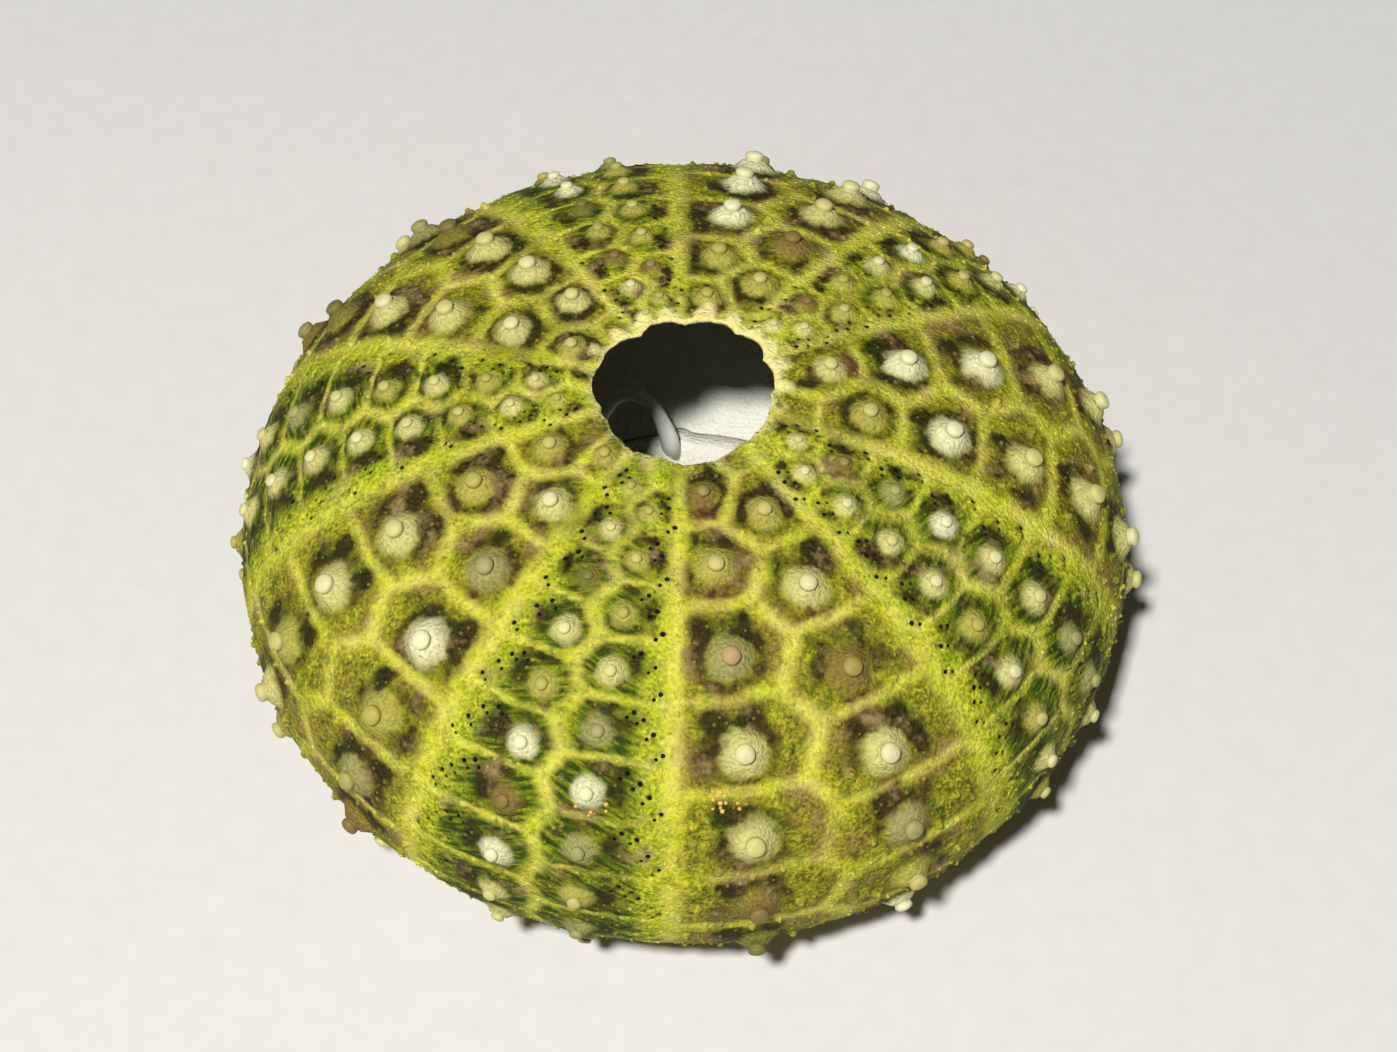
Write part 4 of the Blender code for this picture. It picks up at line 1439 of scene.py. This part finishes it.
def green_stained_calcite():
    """Sponge-like calcite in green, yellow and brown: matt, speckled and slightly rough."""
    finish, tree = new_finish("green_stained_calcite")
    f = plate_fields(tree)
    n = plate_noise(tree)
    tones = tones_of(tree, n)
    colour = stain(tree, f, n, tones)
    colour = bosses_and_seams(tree, f, colour, n, tones)
    colour = edges_and_pits(tree, f, colour, n)
    roughness = node(tree, "ShaderNodeMapRange", 0, {"Value": n["fine"], "To Min": 0.5, "To Max": 0.85})
    height = node(tree, "ShaderNodeMath", 0, {0: n["fine"], 1: n["blots"]}, operation="ADD")
    bump = node(tree, "ShaderNodeBump", 0, {"Height": height, "Strength": 0.8, "Distance": PLATE_BUMP * MM})
    shader = node(tree, "ShaderNodeBsdfPrincipled", 0, {
        "Base Color": colour, "Roughness": roughness, "Normal": bump, "IOR": CALCITE_IOR,
        "Specular IOR Level": SPONGE_SHINE})
    node(tree, "ShaderNodeOutputMaterial", 0, {"Surface": shader})
    return finish


def give(finish, *pieces):
    """Puts a finish on these pieces."""
    for piece in pieces:
        piece.data.materials.append(finish)
    print(finish.name, "of", len(finish.node_tree.nodes), "nodes")


give(green_stained_calcite(), shell, small_knobs, grain_piece)

# %% [markdown]
# ## Close-grained calcite
#
# The knobs were rubbed smooth by the spines that turned on them, so they are denser and a
# little glossier than the plates. The height field darkens their necks and leaves their tops
# lighter, as painted shade under each ball.

# %% The finish of the knobs
KNOB_BUMP = 0.03  # mm
KNOB_SHINE = 0.25


def close_grained_calcite():
    """Dense calcite in each knob's tint, rubbed smooth: paler, cleaner and a little glossier, with painted
    shade at the neck.
    """
    finish, tree = new_finish("close_grained_calcite")
    tint = node(tree, "ShaderNodeAttribute", "Color", attribute_type="GEOMETRY",
                attribute_name="tint")
    height = node(tree, "ShaderNodeAttribute", "Fac", attribute_type="GEOMETRY",
                  attribute_name="height")
    n = plate_noise(tree)
    # Painted shade: the knob is darker low round its neck and lighter at its top.
    painted_neck_shade = broken_up(tree, height, 0.5, 0.75, n, 0.08)
    shade = node(tree, "ShaderNodeMapRange", 0, {"Value": painted_neck_shade, "To Min": 0.72, "To Max": 0.84})
    colour = node(tree, "ShaderNodeMix", MIXED, {SHARE: 1.0, FIRST: tint, SECOND: shade},
                  data_type="RGBA", blend_type="MULTIPLY")
    bump = node(tree, "ShaderNodeBump", 0, {"Height": n["blots"], "Strength": 0.6,
                                            "Distance": KNOB_BUMP * MM})
    shader = node(tree, "ShaderNodeBsdfPrincipled", 0, {
        "Base Color": colour, "Roughness": 0.6, "Normal": bump, "IOR": CALCITE_IOR,
        "Specular IOR Level": KNOB_SHINE})
    node(tree, "ShaderNodeOutputMaterial", 0, {"Surface": shader})
    return finish


give(close_grained_calcite(), knobs)

# %% [markdown]
# ## Orange sand
#
# The sand is quartz stained by iron. Its grains are the only orange on the shell, so the eye
# goes to them, and they are a little glassier than the lime. Quartz has an IOR of 1.54.

# %% The finish of the sand
QUARTZ_IOR = 1.54


def orange_sand():
    """Iron-stained quartz: orange, and with a little shine."""
    finish, tree = new_finish("orange_sand")
    fine = plate_noise(tree)["fine"]
    colour = node(tree, "ShaderNodeMix", MIXED, {SHARE: fine, FIRST: rgba("#A87A28"),
                                                 SECOND: rgba("#DDB452")}, data_type="RGBA")
    shader = node(tree, "ShaderNodeBsdfPrincipled", 0, {"Base Color": colour, "Roughness": 0.45,
                                                        "IOR": QUARTZ_IOR})
    node(tree, "ShaderNodeOutputMaterial", 0, {"Surface": shader})
    return finish


give(orange_sand(), sand)

# %% [markdown]
# ## White lime
#
# The arches never met the skin's pigment. They are dense white lime, grown smooth, with a
# faint warm mottle. To the eye they are clean and even, a quiet ground inside the dark hole.

# %% The finish of the arches
LIME_BUMP = 0.02  # mm


def white_lime():
    """Dense white calcite, smooth and faintly mottled."""
    finish, tree = new_finish("white_lime")
    n = plate_noise(tree)
    colour = node(tree, "ShaderNodeMix", MIXED, {SHARE: n["patches"], FIRST: rgba("#D2D2C2"),
                                                 SECOND: rgba("#E4E3D8")}, data_type="RGBA")
    bump = node(tree, "ShaderNodeBump", 0, {"Height": n["blots"], "Strength": 0.4,
                                            "Distance": LIME_BUMP * MM})
    shader = node(tree, "ShaderNodeBsdfPrincipled", 0, {"Base Color": colour, "Roughness": 0.5,
                                                        "IOR": CALCITE_IOR, "Normal": bump})
    node(tree, "ShaderNodeOutputMaterial", 0, {"Surface": shader})
    return finish


give(white_lime(), arches)

# %% [markdown]
# ## Floor, light and camera
#
# The shell lies on a plain pale board. One small soft lamp stands high in front, a little to
# the left, as the light on the real one did, a broad weak one at the left opens the shadows,
# and a pale surrounding fills them. Ready-made studio pictures of light would do as well, but
# nothing is read from disk here. The camera looks down from in front, at the angle and
# nearness of the photograph.

# %% The floor
FLOOR_SIZE = 1.2  # metres
BOARD_GRAIN = 900.0  # blots to a metre


def pale_board():
    """Matt painted board, plain enough that the eye passes over it."""
    finish, tree = new_finish("pale_board")
    place = node(tree, "ShaderNodeTexCoord", "Object")
    grain = node(tree, "ShaderNodeTexNoise", "Fac", {"Vector": place, "Scale": BOARD_GRAIN,
                                                     "Detail": 3.0})
    colour = node(tree, "ShaderNodeMix", MIXED, {SHARE: grain, FIRST: rgba("#C4C2BC"),
                                                 SECOND: rgba("#CDCBC5")}, data_type="RGBA")
    shader = node(tree, "ShaderNodeBsdfPrincipled", 0, {"Base Color": colour, "Roughness": 0.8})
    node(tree, "ShaderNodeOutputMaterial", 0, {"Surface": shader})
    return finish


floor_mesh = bpy.data.meshes.new("floor")
half = FLOOR_SIZE / 2
corners = [(-half, -half, 0), (half, -half, 0), (half, half, 0), (-half, half, 0)]
floor_mesh.from_pydata(corners, [], [(0, 1, 2, 3)])
floor = bpy.data.objects.new("floor", floor_mesh)
bpy.context.scene.collection.objects.link(floor)
give(pale_board(), floor)

# %% The lamps and the surrounding
AIM = (0.0, 0.0, 0.01)  # metres
SURROUNDING_STRENGTH = 0.045


def add_lamp(name, place, size, watts):
    """A square soft lamp at this place, aimed at the shell. Metres and watts."""
    lamp = bpy.data.lights.new(name, "AREA")
    lamp.energy = watts
    lamp.size = size
    lamp_object = bpy.data.objects.new(name, lamp)
    lamp_object.location = place
    direction = Vector(AIM) - Vector(place)
    lamp_object.rotation_euler = direction.to_track_quat("-Z", "Y").to_euler()
    bpy.context.scene.collection.objects.link(lamp_object)


add_lamp("key", (-0.056, -0.162, 0.335), 0.026, 2.05)
add_lamp("side", (-0.27, -0.20, 0.12), 0.20, 0.10)
world = bpy.data.worlds.new("pale_surrounding")
world.use_nodes = True
background = world.node_tree.nodes["Background"]
background.inputs["Color"].default_value = rgba("#E9EBEE")
background.inputs["Strength"].default_value = SURROUNDING_STRENGTH
bpy.context.scene.world = world
bpy.context.scene.view_settings.view_transform = "Standard"
print("lamps:", [lamp.name for lamp in bpy.data.lights])

# %% The camera
CAMERA_DISTANCE = 120.0  # mm from the middle of the widest circle
CAMERA_ELEVATION = 54.7  # degrees, as are the tilt and the roll
CAMERA_TILT = 54.52
CAMERA_ROLL = -0.48
LENS = 75.17  # mm on a sensor 36 mm wide

camera = bpy.data.cameras.new("camera")
camera.lens = LENS
camera.sensor_width = 36.0
camera.clip_start = 0.01
camera_object = bpy.data.objects.new("camera", camera)
rise = math.radians(CAMERA_ELEVATION)
back, up = math.cos(rise) * CAMERA_DISTANCE, math.sin(rise) * CAMERA_DISTANCE
camera_object.location = (AXIS[0] * MM, (AXIS[1] - back) * MM, (WIDEST_ABOVE_FLOOR + up) * MM)
camera_object.rotation_euler = (math.radians(90.0 - CAMERA_TILT), 0.0, math.radians(CAMERA_ROLL))
bpy.context.scene.collection.objects.link(camera_object)
bpy.context.scene.camera = camera_object
print("camera, mm:", [round(c / MM, 1) for c in camera_object.location])
